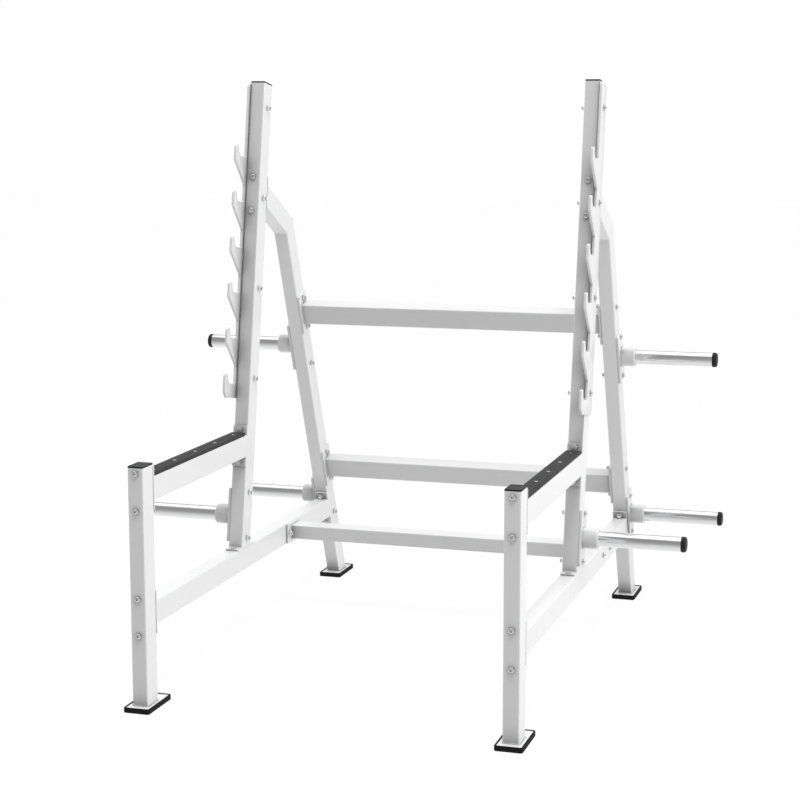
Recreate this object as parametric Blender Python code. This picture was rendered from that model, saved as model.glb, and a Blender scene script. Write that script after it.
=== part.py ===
"""Squat rack: two side frames of rectangular steel tube, tied together by three cross members.

Each side frame has a short front post with a level safety rail, a leaning upright with a plate of
bar hooks, a rear brace with a mitred bend, and three weight storage horns. Everything is bolted.

Axes: +X to the right as the user faces the rack, +Y to its back, +Z up. The origin lies on the
floor, in the middle of the rack's outline. All sizes are in metres.
"""

import math
from collections import namedtuple

import bmesh
import bpy
from mathutils import Matrix, Vector

# Fits
GAP = 0.0003
WELD = 0.001

# Overall stance
HEIGHT = 1.905
FRAME_SPACING = 1.160
FOOT_SPACING = 1.7704
UPRIGHT_SETBACK = 0.7702
UPRIGHT_LEAN = math.radians(9.46)
POST_HEIGHT = 0.757
LOWER_RAIL_HEIGHT = 0.292

# Rectangular tube
TUBE_WIDTH = 0.050
TUBE_DEPTH = 0.075
TUBE_WALL = 0.003
TUBE_CORNER = 0.004

# Bolted flanges
FLANGE_THICKNESS = 0.006
FLANGE_CORNER = 0.004
FLANGE_END = 0.0125
CROSS_FLANGE_END = 0.0175
RAIL_FLANGE_BELOW_TOP = 0.004
VENT_DIAMETER = 0.012

# Bolts
BOLT_DIAMETER = 0.012
BOLT_HOLE_SLACK = 0.001
BOLT_HEAD_DIAMETER = 0.020
BOLT_HEAD_HEIGHT = 0.007
NUT_WIDTH = 0.018
NUT_HEIGHT = 0.010
NUT_ROOM = 0.001

# Rear brace
BEND_ARM_LENGTH = 0.2417
BEND_ARM_SLOPE = math.radians(28.1)
BRACE_JOINT_ABOVE_BOLT = 0.012

# Cross members
UPPER_CROSS_UP_BRACE = 1.1445
MIDDLE_CROSS_UP_BRACE = 0.4865
LOWER_CROSS_BEHIND_MIDDLE = 0.030

# Feet
FOOT_PLATE_THICKNESS = 0.005
FOOT_PLATE_SIDE = 0.012
FOOT_PLATE_TOE = 0.040
FRONT_FOOT_SETBACK = 0.0144
PAD_BASE = 0.009
PAD_RIM_WIDTH = 0.0055
PAD_RIM_ABOVE_PLATE = 0.0023
PAD_CORNER = 0.008
PAD_EDGE = 0.0015

# Tube caps
CAP_THICKNESS = 0.005
CAP_EDGE = 0.001
CAP_SKIRT_DEPTH = 0.008
CAP_SKIRT_WALL = 0.002

# Safety rail wear strip
STRIP_THICKNESS = 0.010
STRIP_CORNER = 0.003
STRIP_EDGE = 0.001
STRIP_FRONT_ROOM = 0.0015
STRIP_REAR_ROOM = 0.012
STRIP_SCREW_COUNT = 5
STRIP_SCREW_INSET = 0.046
SCREW_DIAMETER = 0.006
SCREW_HEAD_DIAMETER = 0.012

# Hook plate
HOOK_COUNT = 6
HOOK_PITCH = 0.1544
TOP_HOOK_BELOW_TOP = 0.2313
HOOK_PLATE_THICKNESS = 0.008
HOOK_PLATE_PROUD = 0.009
HOOK_PLATE_REAR_MARGIN = 0.006
HOOK_PLATE_BELOW_TOP = 0.008
HOOK_PLATE_TOP_CHAMFER = 0.010
HOOK_PLATE_TAIL = 0.080
HOOK_TAIL_CHAMFER = 0.018
HOOK_SEAT_LENGTH = 0.0482
HOOK_SEAT_CORNER = 0.009
HOOK_SEAT_BELOW_TIP = 0.0315
HOOK_LIP_RUN = 0.0195
HOOK_LIP_THICKNESS = 0.0225
HOOK_NOSE_CORNER = 0.010
HOOK_NOSE_BELOW_TIP = 0.050
HOOK_ROOT_BELOW_TIP = 0.1235
HOOK_BOLT_BELOW_TIP = 0.010

# Weight storage horns
HORN_LENGTH = 0.343
HORN_SLEEVE_DIAMETER = 0.0494
HORN_SLEEVE_WALL = 0.003
HORN_PLATE_THICKNESS = 0.008
HORN_PLATE_CORNER = 0.005
HORN_BOLT_BEYOND_COLLAR = 0.0445
HORN_PLATE_END = 0.013
HORN_COLLAR_DIAMETER = 0.067
HORN_COLLAR_REACH = 0.060
HORN_COLLAR_CHAMFER = 0.004
HORN_CAP_LENGTH = 0.016
HORN_CAP_LIP = 0.0005
HORN_CAP_EDGE = 0.008
HORN_CAP_PLUG = 0.015
UPRIGHT_HORN_ABOVE_FOOT = 0.1036

# Facets
CORNER_STEPS = 2
HOLE_SIDES = 8
BOLT_SIDES = 12
HORN_SIDES = 16
SCREW_SIDES = 6
PLATE_CORNER_STEPS = 1

# Finishes
FINISHES = {
    "white_powder_coat": ((0.86, 0.86, 0.87), 0.35, 0.0),
    "black_plastic": ((0.03, 0.03, 0.032), 0.45, 0.0),
    "black_rubber": ((0.018, 0.018, 0.019), 0.75, 0.0),
    "wear_plastic": ((0.045, 0.045, 0.047), 0.55, 0.0),
    "chrome": ((0.80, 0.80, 0.82), 0.12, 1.0),
    "zinc_steel": ((0.62, 0.62, 0.63), 0.30, 1.0),
}

# A bolted flange: the middle of its mating face, the way it looks, and its sizes along the joint
Joint = namedtuple("Joint", "centre facing half_pitch half_length")


# A nut behind a flange stands clear of the tube's side and of the wear strip on it
FLANGE_BOLT_BEYOND = STRIP_THICKNESS + NUT_WIDTH / 2 + NUT_ROOM


# Plane geometry. Points in a side frame's plane are (y, z) vectors, with y = 0 at the front post.

def heading(lean):
    """Direction of a member that leans back by an angle from upright."""
    return Vector((math.sin(lean), math.cos(lean)))


def behind(direction):
    """Direction square to a rising member, towards the back of the rack."""
    return Vector((direction.y, -direction.x))


def meet(point, direction, other_point, other_direction):
    """Where two straight lines cross."""
    turn = direction.x * other_direction.y - direction.y * other_direction.x
    apart = other_point - point
    run = (apart.x * other_direction.y - apart.y * other_direction.x) / turn
    return point + run * direction


def flange_joint(centre, facing, end=FLANGE_END):
    """A flange where two members meet; every flange has its two bolts at the same pitch."""
    half_pitch = HALF_DEPTH + FLANGE_BOLT_BEYOND
    return Joint(centre, facing, half_pitch, half_pitch + end)


def joint_bolts(joint):
    """The two bolt centres of a flange, on its mating face."""
    along = behind(joint.facing)
    return [joint.centre + joint.half_pitch * along, joint.centre - joint.half_pitch * along]


# Worked-out places in the side frame

LEVEL = Vector((1.0, 0.0))
UP = Vector((0.0, 1.0))
HALF_DEPTH = TUBE_DEPTH / 2
HALF_WIDTH = TUBE_WIDTH / 2
FOOT_PLATE_WIDTH = TUBE_WIDTH + 2 * FOOT_PLATE_SIDE
FOOT_PLATE_LENGTH = TUBE_DEPTH + 2 * FOOT_PLATE_TOE
FOOT_PLATE_CORNER = PAD_CORNER - PAD_RIM_WIDTH
PAD_WIDTH = FOOT_PLATE_WIDTH + 2 * (GAP + PAD_RIM_WIDTH)
PAD_LENGTH = FOOT_PLATE_LENGTH + 2 * (GAP + PAD_RIM_WIDTH)
FOOT_PLATE_BOTTOM = PAD_BASE + GAP
FOOT_PLATE_TOP = FOOT_PLATE_BOTTOM + FOOT_PLATE_THICKNESS
FRONT_FOOT_Y = FRONT_FOOT_SETBACK
REAR_FOOT_Y = FOOT_SPACING
MIDDLE_Y = (FRONT_FOOT_Y + REAR_FOOT_Y) / 2

# Upright
UPRIGHT_UP = heading(UPRIGHT_LEAN)
UPRIGHT_BACK = behind(UPRIGHT_UP)
LOWER_RAIL_TOP = LOWER_RAIL_HEIGHT + HALF_DEPTH
UPRIGHT_FOOT_UNDERSIDE = LOWER_RAIL_TOP + GAP
UPRIGHT_FOOT = Vector((UPRIGHT_SETBACK, UPRIGHT_FOOT_UNDERSIDE + FLANGE_THICKNESS))
UPRIGHT_TOP = (HEIGHT - UPRIGHT_FOOT.y - HALF_DEPTH * UPRIGHT_UP.x) / UPRIGHT_UP.y
UPRIGHT_STEEL_TOP = UPRIGHT_TOP - CAP_THICKNESS - GAP
UPRIGHT_FOOT_JOINT = flange_joint(
    Vector((UPRIGHT_SETBACK, UPRIGHT_FOOT_UNDERSIDE)), UP)


def on_upright(along, back=0.0):
    """Point at a distance up the upright from its foot plate, and behind its centreline."""
    return UPRIGHT_FOOT + along * UPRIGHT_UP + back * UPRIGHT_BACK


# Hooks and their bolts, as distances up the upright
HOOK_TIPS = [UPRIGHT_TOP - TOP_HOOK_BELOW_TOP - number * HOOK_PITCH for number in range(HOOK_COUNT)]
HOOK_BOLTS = [HOOK_TIPS[-1] - HOOK_BOLT_BELOW_TIP + 2 * step * HOOK_PITCH
              for step in range(HOOK_COUNT // 2 + 1)]

# Safety rail, between the post and the upright
POST_STEEL_TOP = POST_HEIGHT - CAP_THICKNESS - GAP
RAIL_HALF_FLANGE = HALF_DEPTH + FLANGE_BOLT_BEYOND + FLANGE_END
SAFETY_RAIL_HEIGHT = POST_STEEL_TOP - RAIL_FLANGE_BELOW_TOP - RAIL_HALF_FLANGE
SAFETY_RAIL_TOP = SAFETY_RAIL_HEIGHT + HALF_DEPTH
RAIL_START_Y = HALF_DEPTH + GAP
SAFETY_FRONT_JOINT = flange_joint(
    Vector((RAIL_START_Y, SAFETY_RAIL_HEIGHT)), LEVEL)
SAFETY_REAR_CENTRE = meet(
    SAFETY_FRONT_JOINT.centre, LEVEL, on_upright(0.0, -HALF_DEPTH - GAP), UPRIGHT_UP)
SAFETY_REAR_JOINT = flange_joint(SAFETY_REAR_CENTRE, -UPRIGHT_BACK)

# Rear brace: its arm lands on the back of the upright, and its leg on the rear foot
BRACE_JOINT_UP = HOOK_BOLTS[-2] + BRACE_JOINT_ABOVE_BOLT
BEND_ARM_DIRECTION = Vector((math.cos(BEND_ARM_SLOPE), -math.sin(BEND_ARM_SLOPE)))
BRACE_TOP_JOINT = flange_joint(
    on_upright(BRACE_JOINT_UP, HALF_DEPTH + GAP), UPRIGHT_BACK)
BRACE_ARM_START = BRACE_TOP_JOINT.centre + FLANGE_THICKNESS * UPRIGHT_BACK
BRACE_BEND = BRACE_ARM_START + BEND_ARM_LENGTH * BEND_ARM_DIRECTION
BRACE_FOOT = Vector((REAR_FOOT_Y, FOOT_PLATE_TOP))
BRACE_UP = (BRACE_BEND - BRACE_FOOT).normalized()
BRACE_BACK = behind(BRACE_UP)


def on_brace(along, back=0.0):
    """Point at a distance up the brace's leg from its foot plate, and behind its centreline."""
    return BRACE_FOOT + along * BRACE_UP + back * BRACE_BACK


# Lower side rail, between the post and the brace
LOWER_FRONT_JOINT = flange_joint(
    Vector((RAIL_START_Y, LOWER_RAIL_HEIGHT)), LEVEL)
LOWER_REAR_CENTRE = meet(
    LOWER_FRONT_JOINT.centre, LEVEL, on_brace(0.0, -HALF_DEPTH - GAP), BRACE_UP)
LOWER_REAR_JOINT = flange_joint(LOWER_REAR_CENTRE, -BRACE_BACK)

# Cross members, as centres in the side plane
CROSS_HALF_PITCH = HALF_DEPTH + FLANGE_BOLT_BEYOND
CROSS_HALF_LENGTH = CROSS_HALF_PITCH + CROSS_FLANGE_END
LOWER_CROSS = Vector((
    (UPRIGHT_SETBACK + LOWER_REAR_CENTRE.x) / 2 + LOWER_CROSS_BEHIND_MIDDLE, LOWER_RAIL_HEIGHT))

# Weight horns: the upper bolt of a horn on the brace is the lower bolt of a cross member
HORN_HALF_PITCH = HORN_COLLAR_DIAMETER / 2 + HORN_BOLT_BEYOND_COLLAR
HORN_UP_BRACE = [cross_up - CROSS_HALF_PITCH - HORN_HALF_PITCH
                 for cross_up in (UPPER_CROSS_UP_BRACE, MIDDLE_CROSS_UP_BRACE)]


# Outlines, as lists of plane points

def rounded_rectangle(width, depth, corner, steps=CORNER_STEPS):
    """Rectangle about the origin with round corners."""
    points = []
    for quarter, (across, deep) in enumerate(((1, 1), (-1, 1), (-1, -1), (1, -1))):
        centre = Vector((across * (width / 2 - corner), deep * (depth / 2 - corner)))
        points += arc(centre, corner, corner, 90 * quarter, 90 * quarter + 90, steps)
    return points


def arc(centre, across, high, start, stop, steps):
    """Points on an elliptical arc between two angles in degrees."""
    points = []
    for step in range(steps + 1):
        angle = math.radians(start + (stop - start) * step / steps)
        points.append(centre + Vector((across * math.cos(angle), high * math.sin(angle))))
    return points


def circle(radius, sides):
    """Regular polygon with its corners on a circle."""
    return [Vector((radius * math.cos(math.tau * side / sides),
                    radius * math.sin(math.tau * side / sides))) for side in range(sides)]


def hexagon(width, sides):
    """Hexagon of a width across flats, with the points of a polygon of so many sides."""
    points = []
    for direction in circle(1.0, sides):
        angle = math.atan2(direction.y, direction.x) % (math.pi / 3) - math.pi / 6
        points.append(direction * width / 2 / math.cos(angle))
    return points


# Solids, each as a bmesh

def skin(loops, closed=False):
    """Solid through a row of loops: capped at both ends, or joined end to end as a tube wall."""
    solid = bmesh.new()
    rows = [[solid.verts.new(point) for point in loop] for loop in loops]
    pairs = list(zip(rows, rows[1:]))
    if closed:
        pairs.append((rows[-1], rows[0]))
    else:
        solid.faces.new(rows[0])
        solid.faces.new(rows[-1])
    for row, following in pairs:
        count = len(row)
        for index in range(count):
            after = (index + 1) % count
            solid.faces.new((row[index], row[after], following[after], following[index]))
    bmesh.ops.recalc_face_normals(solid, faces=solid.faces)
    return solid


def raised(outline, height):
    """A plane outline at a height."""
    return [Vector((point.x, point.y, height)) for point in outline]


def slab(outline, low, high):
    """Straight solid over an outline."""
    return skin([raised(outline, low), raised(outline, high)])


def rod(diameter, low, high, sides=HOLE_SIDES):
    """Straight round cutter whose flats keep the full diameter clear."""
    return slab(circle(diameter / 2 / math.cos(math.pi / sides), sides), low, high)


def moved(solid, matrix):
    """The same solid, put in place by a matrix."""
    solid.transform(matrix)
    return solid


def facing_frame(point, facing, x=0.0):
    """Frame at a side-plane point: Z along a side-plane direction, X across the rack."""
    return Matrix(((1.0, 0.0, 0.0, x),
                   (0.0, facing.y, facing.x, point.x),
                   (0.0, -facing.x, facing.y, point.y),
                   (0.0, 0.0, 0.0, 1.0)))


def outward_frame(point, up, side, x):
    """Frame at a side-plane point: Z across the rack towards a side, Y along a member."""
    return Matrix(((0.0, 0.0, side, x),
                   (side * up.y, up.x, 0.0, point.x),
                   (-side * up.x, up.y, 0.0, point.y),
                   (0.0, 0.0, 0.0, 1.0)))


def scratch_object(solid):
    """Hidden helper object for a Boolean step."""
    mesh = bpy.data.meshes.new("step")
    solid.to_mesh(mesh)
    solid.free()
    helper = bpy.data.objects.new("step", mesh)
    helper.hide_render = True
    helper.display_type = "WIRE"
    bpy.context.scene.collection.objects.link(helper)
    return helper


def combined(solid, tools, operation):
    """The solid joined with the tools, or cut by them."""
    target = scratch_object(solid)
    helpers = [scratch_object(tool) for tool in tools]
    for helper in helpers:
        step = target.modifiers.new("step", "BOOLEAN")
        step.operation = operation
        step.solver = "EXACT"
        step.object = helper
    shown = target.evaluated_get(bpy.context.evaluated_depsgraph_get())
    result = bmesh.new()
    result.from_mesh(shown.to_mesh())
    shown.to_mesh_clear()
    for helper in [target] + helpers:
        mesh = helper.data
        bpy.data.objects.remove(helper)
        bpy.data.meshes.remove(mesh)
    bmesh.ops.remove_doubles(result, verts=result.verts, dist=1e-6)
    return result


def welded(solid, *tools):
    """Pieces welded into one."""
    return combined(solid, tools, "UNION")


def drilled(solid, tools):
    """A piece with all its holes cut in one step."""
    return combined(solid, [combined(tools[0], tools[1:], "UNION")], "DIFFERENCE")


def swept_tube(path, start_cut, end_cut):
    """Tube along a side-plane path, mitred where it bends and cut square to a direction at its ends."""
    directions = [(end - start).normalized() for start, end in zip(path, path[1:])]
    cuts = [start_cut]
    cuts += [(before + after).normalized() for before, after in zip(directions, directions[1:])]
    cuts.append(end_cut)
    directions.append(directions[-1])
    outer = rounded_rectangle(TUBE_WIDTH, TUBE_DEPTH, TUBE_CORNER)
    inner = rounded_rectangle(
        TUBE_WIDTH - 2 * TUBE_WALL, TUBE_DEPTH - 2 * TUBE_WALL, TUBE_CORNER - TUBE_WALL)
    loops = []
    for outline in (outer, inner):
        rings = []
        for point, direction, cut in zip(path, directions, cuts):
            ring = []
            for corner in outline:
                offset = corner.y * behind(direction)
                place = point + offset - direction * offset.dot(cut) / direction.dot(cut)
                ring.append(Vector((corner.x, place.x, place.y)))
            rings.append(ring)
        loops += rings if outline is outer else rings[::-1]
    return skin(loops, closed=True)


def bolt_hole(low, high):
    """Cutter for a bolt hole."""
    return rod(BOLT_DIAMETER + BOLT_HOLE_SLACK, low, high)


def flange_plate(joint):
    """Flange plate of a side frame's member, on its joint."""
    outline = rounded_rectangle(
        TUBE_WIDTH, 2 * joint.half_length, FLANGE_CORNER, PLATE_CORNER_STEPS)
    plate = slab(outline, 0.0, FLANGE_THICKNESS)
    return moved(plate, facing_frame(joint.centre, joint.facing))


def flange_holes(joint):
    """Cutters for the bolt holes of a flange, through its own plate alone."""
    return [moved(bolt_hole(-FLANGE_THICKNESS / 2, FLANGE_THICKNESS * 3 / 2),
                  facing_frame(point, joint.facing)) for point in joint_bolts(joint)]


def mating_holes(joint, depth=TUBE_DEPTH * 1.3):
    """Cutters for a flange's bolts, through the whole member that it is bolted to or to a depth."""
    holes = []
    for point in joint_bolts(joint):
        hole = bolt_hole(-depth, FLANGE_THICKNESS / 2)
        holes.append(moved(hole, facing_frame(point, joint.facing)))
    return holes


def side_holes(points, up):
    """Cutters for bolts that cross a side frame's member from its inner to its outer face."""
    return [moved(bolt_hole(-TUBE_WIDTH, TUBE_WIDTH), outward_frame(point, up, 1, 0.0))
            for point in points]


def foot_plate(foot_y):
    """Plate under a leg, in its rubber pad."""
    outline = rounded_rectangle(
        FOOT_PLATE_WIDTH, FOOT_PLATE_LENGTH, FOOT_PLATE_CORNER, PLATE_CORNER_STEPS)
    plate = slab(outline, FOOT_PLATE_BOTTOM, FOOT_PLATE_TOP)
    return moved(plate, Matrix.Translation((0.0, foot_y, 0.0)))


# Pieces of a side frame

def front_post():
    """Short vertical post on its foot plate, open at the top for its cap."""
    path = [Vector((0.0, FOOT_PLATE_TOP - WELD)), Vector((0.0, POST_STEEL_TOP))]
    post = welded(swept_tube(path, UP, UP), foot_plate(FRONT_FOOT_Y))
    return drilled(post, mating_holes(SAFETY_FRONT_JOINT) + mating_holes(LOWER_FRONT_JOINT))


def rail(front_joint, rear_joint, extra_holes):
    """Level tube with a flange at each end."""
    start = front_joint.centre + (FLANGE_THICKNESS - WELD) * front_joint.facing
    end = meet(start, LEVEL, rear_joint.centre + (FLANGE_THICKNESS - WELD) * rear_joint.facing,
               behind(rear_joint.facing))
    bar = swept_tube([start, end], front_joint.facing, -rear_joint.facing)
    bar = welded(bar, flange_plate(front_joint), flange_plate(rear_joint))
    return drilled(bar, flange_holes(front_joint) + flange_holes(rear_joint) + extra_holes)


def strip_ends():
    """Front and rear end of the wear strip, as y values."""
    front = RAIL_START_Y + FLANGE_THICKNESS + STRIP_FRONT_ROOM
    flange_front = on_upright(0.0, -HALF_DEPTH - GAP - FLANGE_THICKNESS)
    rear = meet(Vector((0.0, SAFETY_RAIL_TOP)), LEVEL, flange_front, UPRIGHT_UP).x
    return front, rear - STRIP_REAR_ROOM


def strip_screws():
    """The y value of each screw in the wear strip."""
    front, rear = strip_ends()
    first = front + STRIP_SCREW_INSET
    last = rear - STRIP_SCREW_INSET
    return [first + (last - first) * number / (STRIP_SCREW_COUNT - 1)
            for number in range(STRIP_SCREW_COUNT)]


def safety_rail():
    """Rail that catches the bar, tapped for the screws of its wear strip."""
    low = SAFETY_RAIL_TOP - 2 * TUBE_WALL
    high = SAFETY_RAIL_TOP + TUBE_WALL
    screw_holes = [moved(rod(SCREW_DIAMETER, low, high, SCREW_SIDES), Matrix.Translation((0.0, y, 0.0)))
                   for y in strip_screws()]
    return rail(SAFETY_FRONT_JOINT, SAFETY_REAR_JOINT, screw_holes)


def wear_strip():
    """Plastic strip on the safety rail, with countersunk screw holes."""
    front, rear = strip_ends()
    low = SAFETY_RAIL_TOP + GAP
    high = low + STRIP_THICKNESS
    outline = rounded_rectangle(TUBE_WIDTH, rear - front, STRIP_CORNER)
    inset = rounded_rectangle(
        TUBE_WIDTH - 2 * STRIP_EDGE, rear - front - 2 * STRIP_EDGE, STRIP_CORNER - STRIP_EDGE)
    strip = skin([raised(outline, low), raised(outline, high - STRIP_EDGE), raised(inset, high)])
    moved(strip, Matrix.Translation((0.0, (front + rear) / 2, 0.0)))
    shank = circle((SCREW_DIAMETER + GAP) / 2 / math.cos(math.pi / SCREW_SIDES), SCREW_SIDES)
    head = circle(SCREW_HEAD_DIAMETER / 2 / math.cos(math.pi / SCREW_SIDES), SCREW_SIDES)
    sink = high - (SCREW_HEAD_DIAMETER - SCREW_DIAMETER) / 2
    holes = []
    for y in strip_screws():
        hole = skin([raised(shank, low - STRIP_EDGE), raised(shank, sink), raised(head, high),
                     raised(head, high + STRIP_EDGE)])
        holes.append(moved(hole, Matrix.Translation((0.0, y, 0.0))))
    return drilled(strip, holes)


def lower_rail():
    """Rail that ties the post to the brace and carries the upright and the lower cross member."""
    cross_bolts = [LOWER_CROSS + reach * LEVEL for reach in (CROSS_HALF_PITCH, -CROSS_HALF_PITCH)]
    holes = mating_holes(UPRIGHT_FOOT_JOINT, HALF_DEPTH) + side_holes(cross_bolts, UP)
    return rail(LOWER_FRONT_JOINT, LOWER_REAR_JOINT, holes)


def upright():
    """Leaning main post on its foot flange, open at the top for its cap."""
    path = [on_upright(-WELD / UPRIGHT_UP.y), on_upright(UPRIGHT_STEEL_TOP)]
    post = welded(swept_tube(path, UP, UPRIGHT_UP), flange_plate(UPRIGHT_FOOT_JOINT))
    bolts = [on_upright(along) for along in HOOK_BOLTS]
    bolts += [on_upright(UPRIGHT_HORN_ABOVE_FOOT + reach)
              for reach in (HORN_HALF_PITCH, -HORN_HALF_PITCH)]
    holes = side_holes(bolts, UPRIGHT_UP)
    holes += mating_holes(SAFETY_REAR_JOINT) + mating_holes(BRACE_TOP_JOINT)
    return drilled(post, holes + flange_holes(UPRIGHT_FOOT_JOINT))


def rear_brace():
    """Leg and short arm of one tube, mitred at the bend, with a flange on the arm."""
    start = BRACE_FOOT - WELD / BRACE_UP.y * BRACE_UP
    end = BRACE_ARM_START - WELD / UPRIGHT_BACK.dot(BEND_ARM_DIRECTION) * BEND_ARM_DIRECTION
    brace = swept_tube([start, BRACE_BEND, end], UP, -UPRIGHT_BACK)
    brace = welded(brace, foot_plate(REAR_FOOT_Y), flange_plate(BRACE_TOP_JOINT))
    bolts = []
    for cross_up, horn_up in zip((UPPER_CROSS_UP_BRACE, MIDDLE_CROSS_UP_BRACE), HORN_UP_BRACE):
        bolts.append(on_brace(cross_up + CROSS_HALF_PITCH))
        bolts.append(on_brace(cross_up - CROSS_HALF_PITCH))
        bolts.append(on_brace(horn_up - HORN_HALF_PITCH))
    holes = side_holes(bolts, BRACE_UP) + mating_holes(LOWER_REAR_JOINT)
    return drilled(brace, holes + flange_holes(BRACE_TOP_JOINT))


def foot_pad():
    """Rubber tray under a foot plate."""
    recess = rounded_rectangle(
        PAD_WIDTH - 2 * PAD_RIM_WIDTH, PAD_LENGTH - 2 * PAD_RIM_WIDTH, PAD_CORNER - PAD_RIM_WIDTH)
    outline = rounded_rectangle(PAD_WIDTH, PAD_LENGTH, PAD_CORNER)
    inset = rounded_rectangle(
        PAD_WIDTH - 2 * PAD_EDGE, PAD_LENGTH - 2 * PAD_EDGE, PAD_CORNER - PAD_EDGE)
    rim = FOOT_PLATE_TOP + PAD_RIM_ABOVE_PLATE
    return skin([raised(outline, 0.0), raised(outline, rim - PAD_EDGE), raised(inset, rim),
                 raised(recess, rim), raised(recess, PAD_BASE)])


def tube_cap():
    """Plastic cap that plugs the open end of a tube; z = 0 is the tube's end."""
    outline = rounded_rectangle(TUBE_WIDTH, TUBE_DEPTH, TUBE_CORNER)
    inset = rounded_rectangle(
        TUBE_WIDTH - 2 * CAP_EDGE, TUBE_DEPTH - 2 * CAP_EDGE, TUBE_CORNER - CAP_EDGE)
    shrink = 2 * (TUBE_WALL + GAP)
    plug_corner = TUBE_CORNER - TUBE_WALL
    plug = rounded_rectangle(TUBE_WIDTH - shrink, TUBE_DEPTH - shrink, plug_corner)
    hollow = rounded_rectangle(
        TUBE_WIDTH - shrink - 2 * CAP_SKIRT_WALL, TUBE_DEPTH - shrink - 2 * CAP_SKIRT_WALL,
        plug_corner / 2)
    return skin([raised(inset, GAP + CAP_THICKNESS), raised(outline, GAP + CAP_THICKNESS - CAP_EDGE),
                 raised(outline, GAP), raised(plug, GAP), raised(plug, -CAP_SKIRT_DEPTH),
                 raised(hollow, -CAP_SKIRT_DEPTH), raised(hollow, GAP)])


def hook_edge(tip, lowest):
    """Front edge of one hook from its seat corner down to the strip, as (back, along) points."""
    strip = -HALF_DEPTH - HOOK_PLATE_PROUD
    seat = tip - HOOK_SEAT_BELOW_TIP
    lip_start = strip - HOOK_SEAT_LENGTH
    lip_top = lip_start - HOOK_LIP_RUN
    nose = lip_top - HOOK_LIP_THICKNESS
    corner = HOOK_SEAT_CORNER
    crown = HOOK_LIP_THICKNESS / 5
    points = arc(Vector((strip - corner, seat + corner)), corner, corner, 0, -90, 3)
    points += arc(Vector((lip_start, tip - crown)), HOOK_LIP_RUN, tip - crown - seat, -90, -180, 4)
    points += arc(Vector((lip_top - crown, tip - crown)), crown, crown, 0, 90, 2)[1:]
    points += arc(Vector((nose + HOOK_NOSE_CORNER, tip - HOOK_NOSE_CORNER)),
                  HOOK_NOSE_CORNER, HOOK_NOSE_CORNER, 90, 180, 3)
    if lowest:
        points.append(Vector((nose, tip - HOOK_PLATE_TAIL + HOOK_TAIL_CHAMFER)))
        points.append(Vector((nose + HOOK_TAIL_CHAMFER, tip - HOOK_PLATE_TAIL)))
    else:
        points.append(Vector((nose, tip - HOOK_NOSE_BELOW_TIP)))
        points.append(Vector((strip, tip - HOOK_ROOT_BELOW_TIP)))
    return points


def hook_plate():
    """Laser-cut plate with a row of bar hooks, flat on the upright's outer face."""
    back = HALF_DEPTH - HOOK_PLATE_REAR_MARGIN
    top = UPRIGHT_TOP - HOOK_PLATE_BELOW_TOP
    outline = [Vector((back, top)), Vector((-HALF_DEPTH, top)),
               Vector((-HALF_DEPTH - HOOK_PLATE_PROUD, top - HOOK_PLATE_TOP_CHAMFER))]
    for tip in HOOK_TIPS:
        outline += hook_edge(tip, tip == HOOK_TIPS[-1])
    outline.append(Vector((back, HOOK_TIPS[-1] - HOOK_PLATE_TAIL)))
    half = HOOK_PLATE_THICKNESS / 2
    holes = [moved(bolt_hole(-2 * half, 2 * half), Matrix.Translation((0.0, along, 0.0)))
             for along in HOOK_BOLTS]
    return drilled(slab(outline, -half, half), holes)


# Weight storage horn, along its own z axis from the face of the tube that carries it

def horn_bracket():
    """Plate with a collar that holds the sleeve."""
    length = 2 * (HORN_HALF_PITCH + HORN_PLATE_END)
    outline = rounded_rectangle(TUBE_DEPTH, length, HORN_PLATE_CORNER, PLATE_CORNER_STEPS)
    plate = slab(outline, GAP, GAP + HORN_PLATE_THICKNESS)
    outer = circle(HORN_COLLAR_DIAMETER / 2, HORN_SIDES)
    chamfered = circle(HORN_COLLAR_DIAMETER / 2 - HORN_COLLAR_CHAMFER, HORN_SIDES)
    bore = circle(HORN_SLEEVE_DIAMETER / 2 + GAP, HORN_SIDES)
    root = GAP + HORN_PLATE_THICKNESS - WELD
    collar = skin([raised(outer, root), raised(outer, HORN_COLLAR_REACH - HORN_COLLAR_CHAMFER),
                   raised(chamfered, HORN_COLLAR_REACH), raised(bore, HORN_COLLAR_REACH),
                   raised(bore, root)], closed=True)
    holes = [moved(bolt_hole(0.0, 2 * HORN_PLATE_THICKNESS), Matrix.Translation((0.0, reach, 0.0)))
             for reach in (HORN_HALF_PITCH, -HORN_HALF_PITCH)]
    return drilled(welded(plate, collar), holes)


def horn_sleeve():
    """Bright tube that the weight plates slide on."""
    outer = circle(HORN_SLEEVE_DIAMETER / 2, HORN_SIDES)
    inner = circle(HORN_SLEEVE_DIAMETER / 2 - HORN_SLEEVE_WALL, HORN_SIDES)
    low = 2 * GAP + HORN_PLATE_THICKNESS
    high = HORN_LENGTH - HORN_CAP_LENGTH - GAP
    return skin([raised(outer, low), raised(outer, high), raised(inner, high), raised(inner, low)],
                closed=True)


def horn_cap():
    """Plug with a domed head on the end of a sleeve."""
    head_radius = HORN_SLEEVE_DIAMETER / 2 + HORN_CAP_LIP
    head = circle(head_radius, HORN_SIDES)
    plug = circle(HORN_SLEEVE_DIAMETER / 2 - HORN_SLEEVE_WALL - GAP, HORN_SIDES)
    low = HORN_LENGTH - HORN_CAP_LENGTH
    edge = Vector((head_radius - HORN_CAP_EDGE, HORN_LENGTH - HORN_CAP_EDGE))
    dome = [raised(circle(point.x, HORN_SIDES), point.y)
            for point in arc(edge, HORN_CAP_EDGE, HORN_CAP_EDGE, 90, 0, CORNER_STEPS)]
    return skin(dome + [raised(head, low), raised(plug, low), raised(plug, low - HORN_CAP_PLUG)])


# Fasteners and cross members

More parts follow.
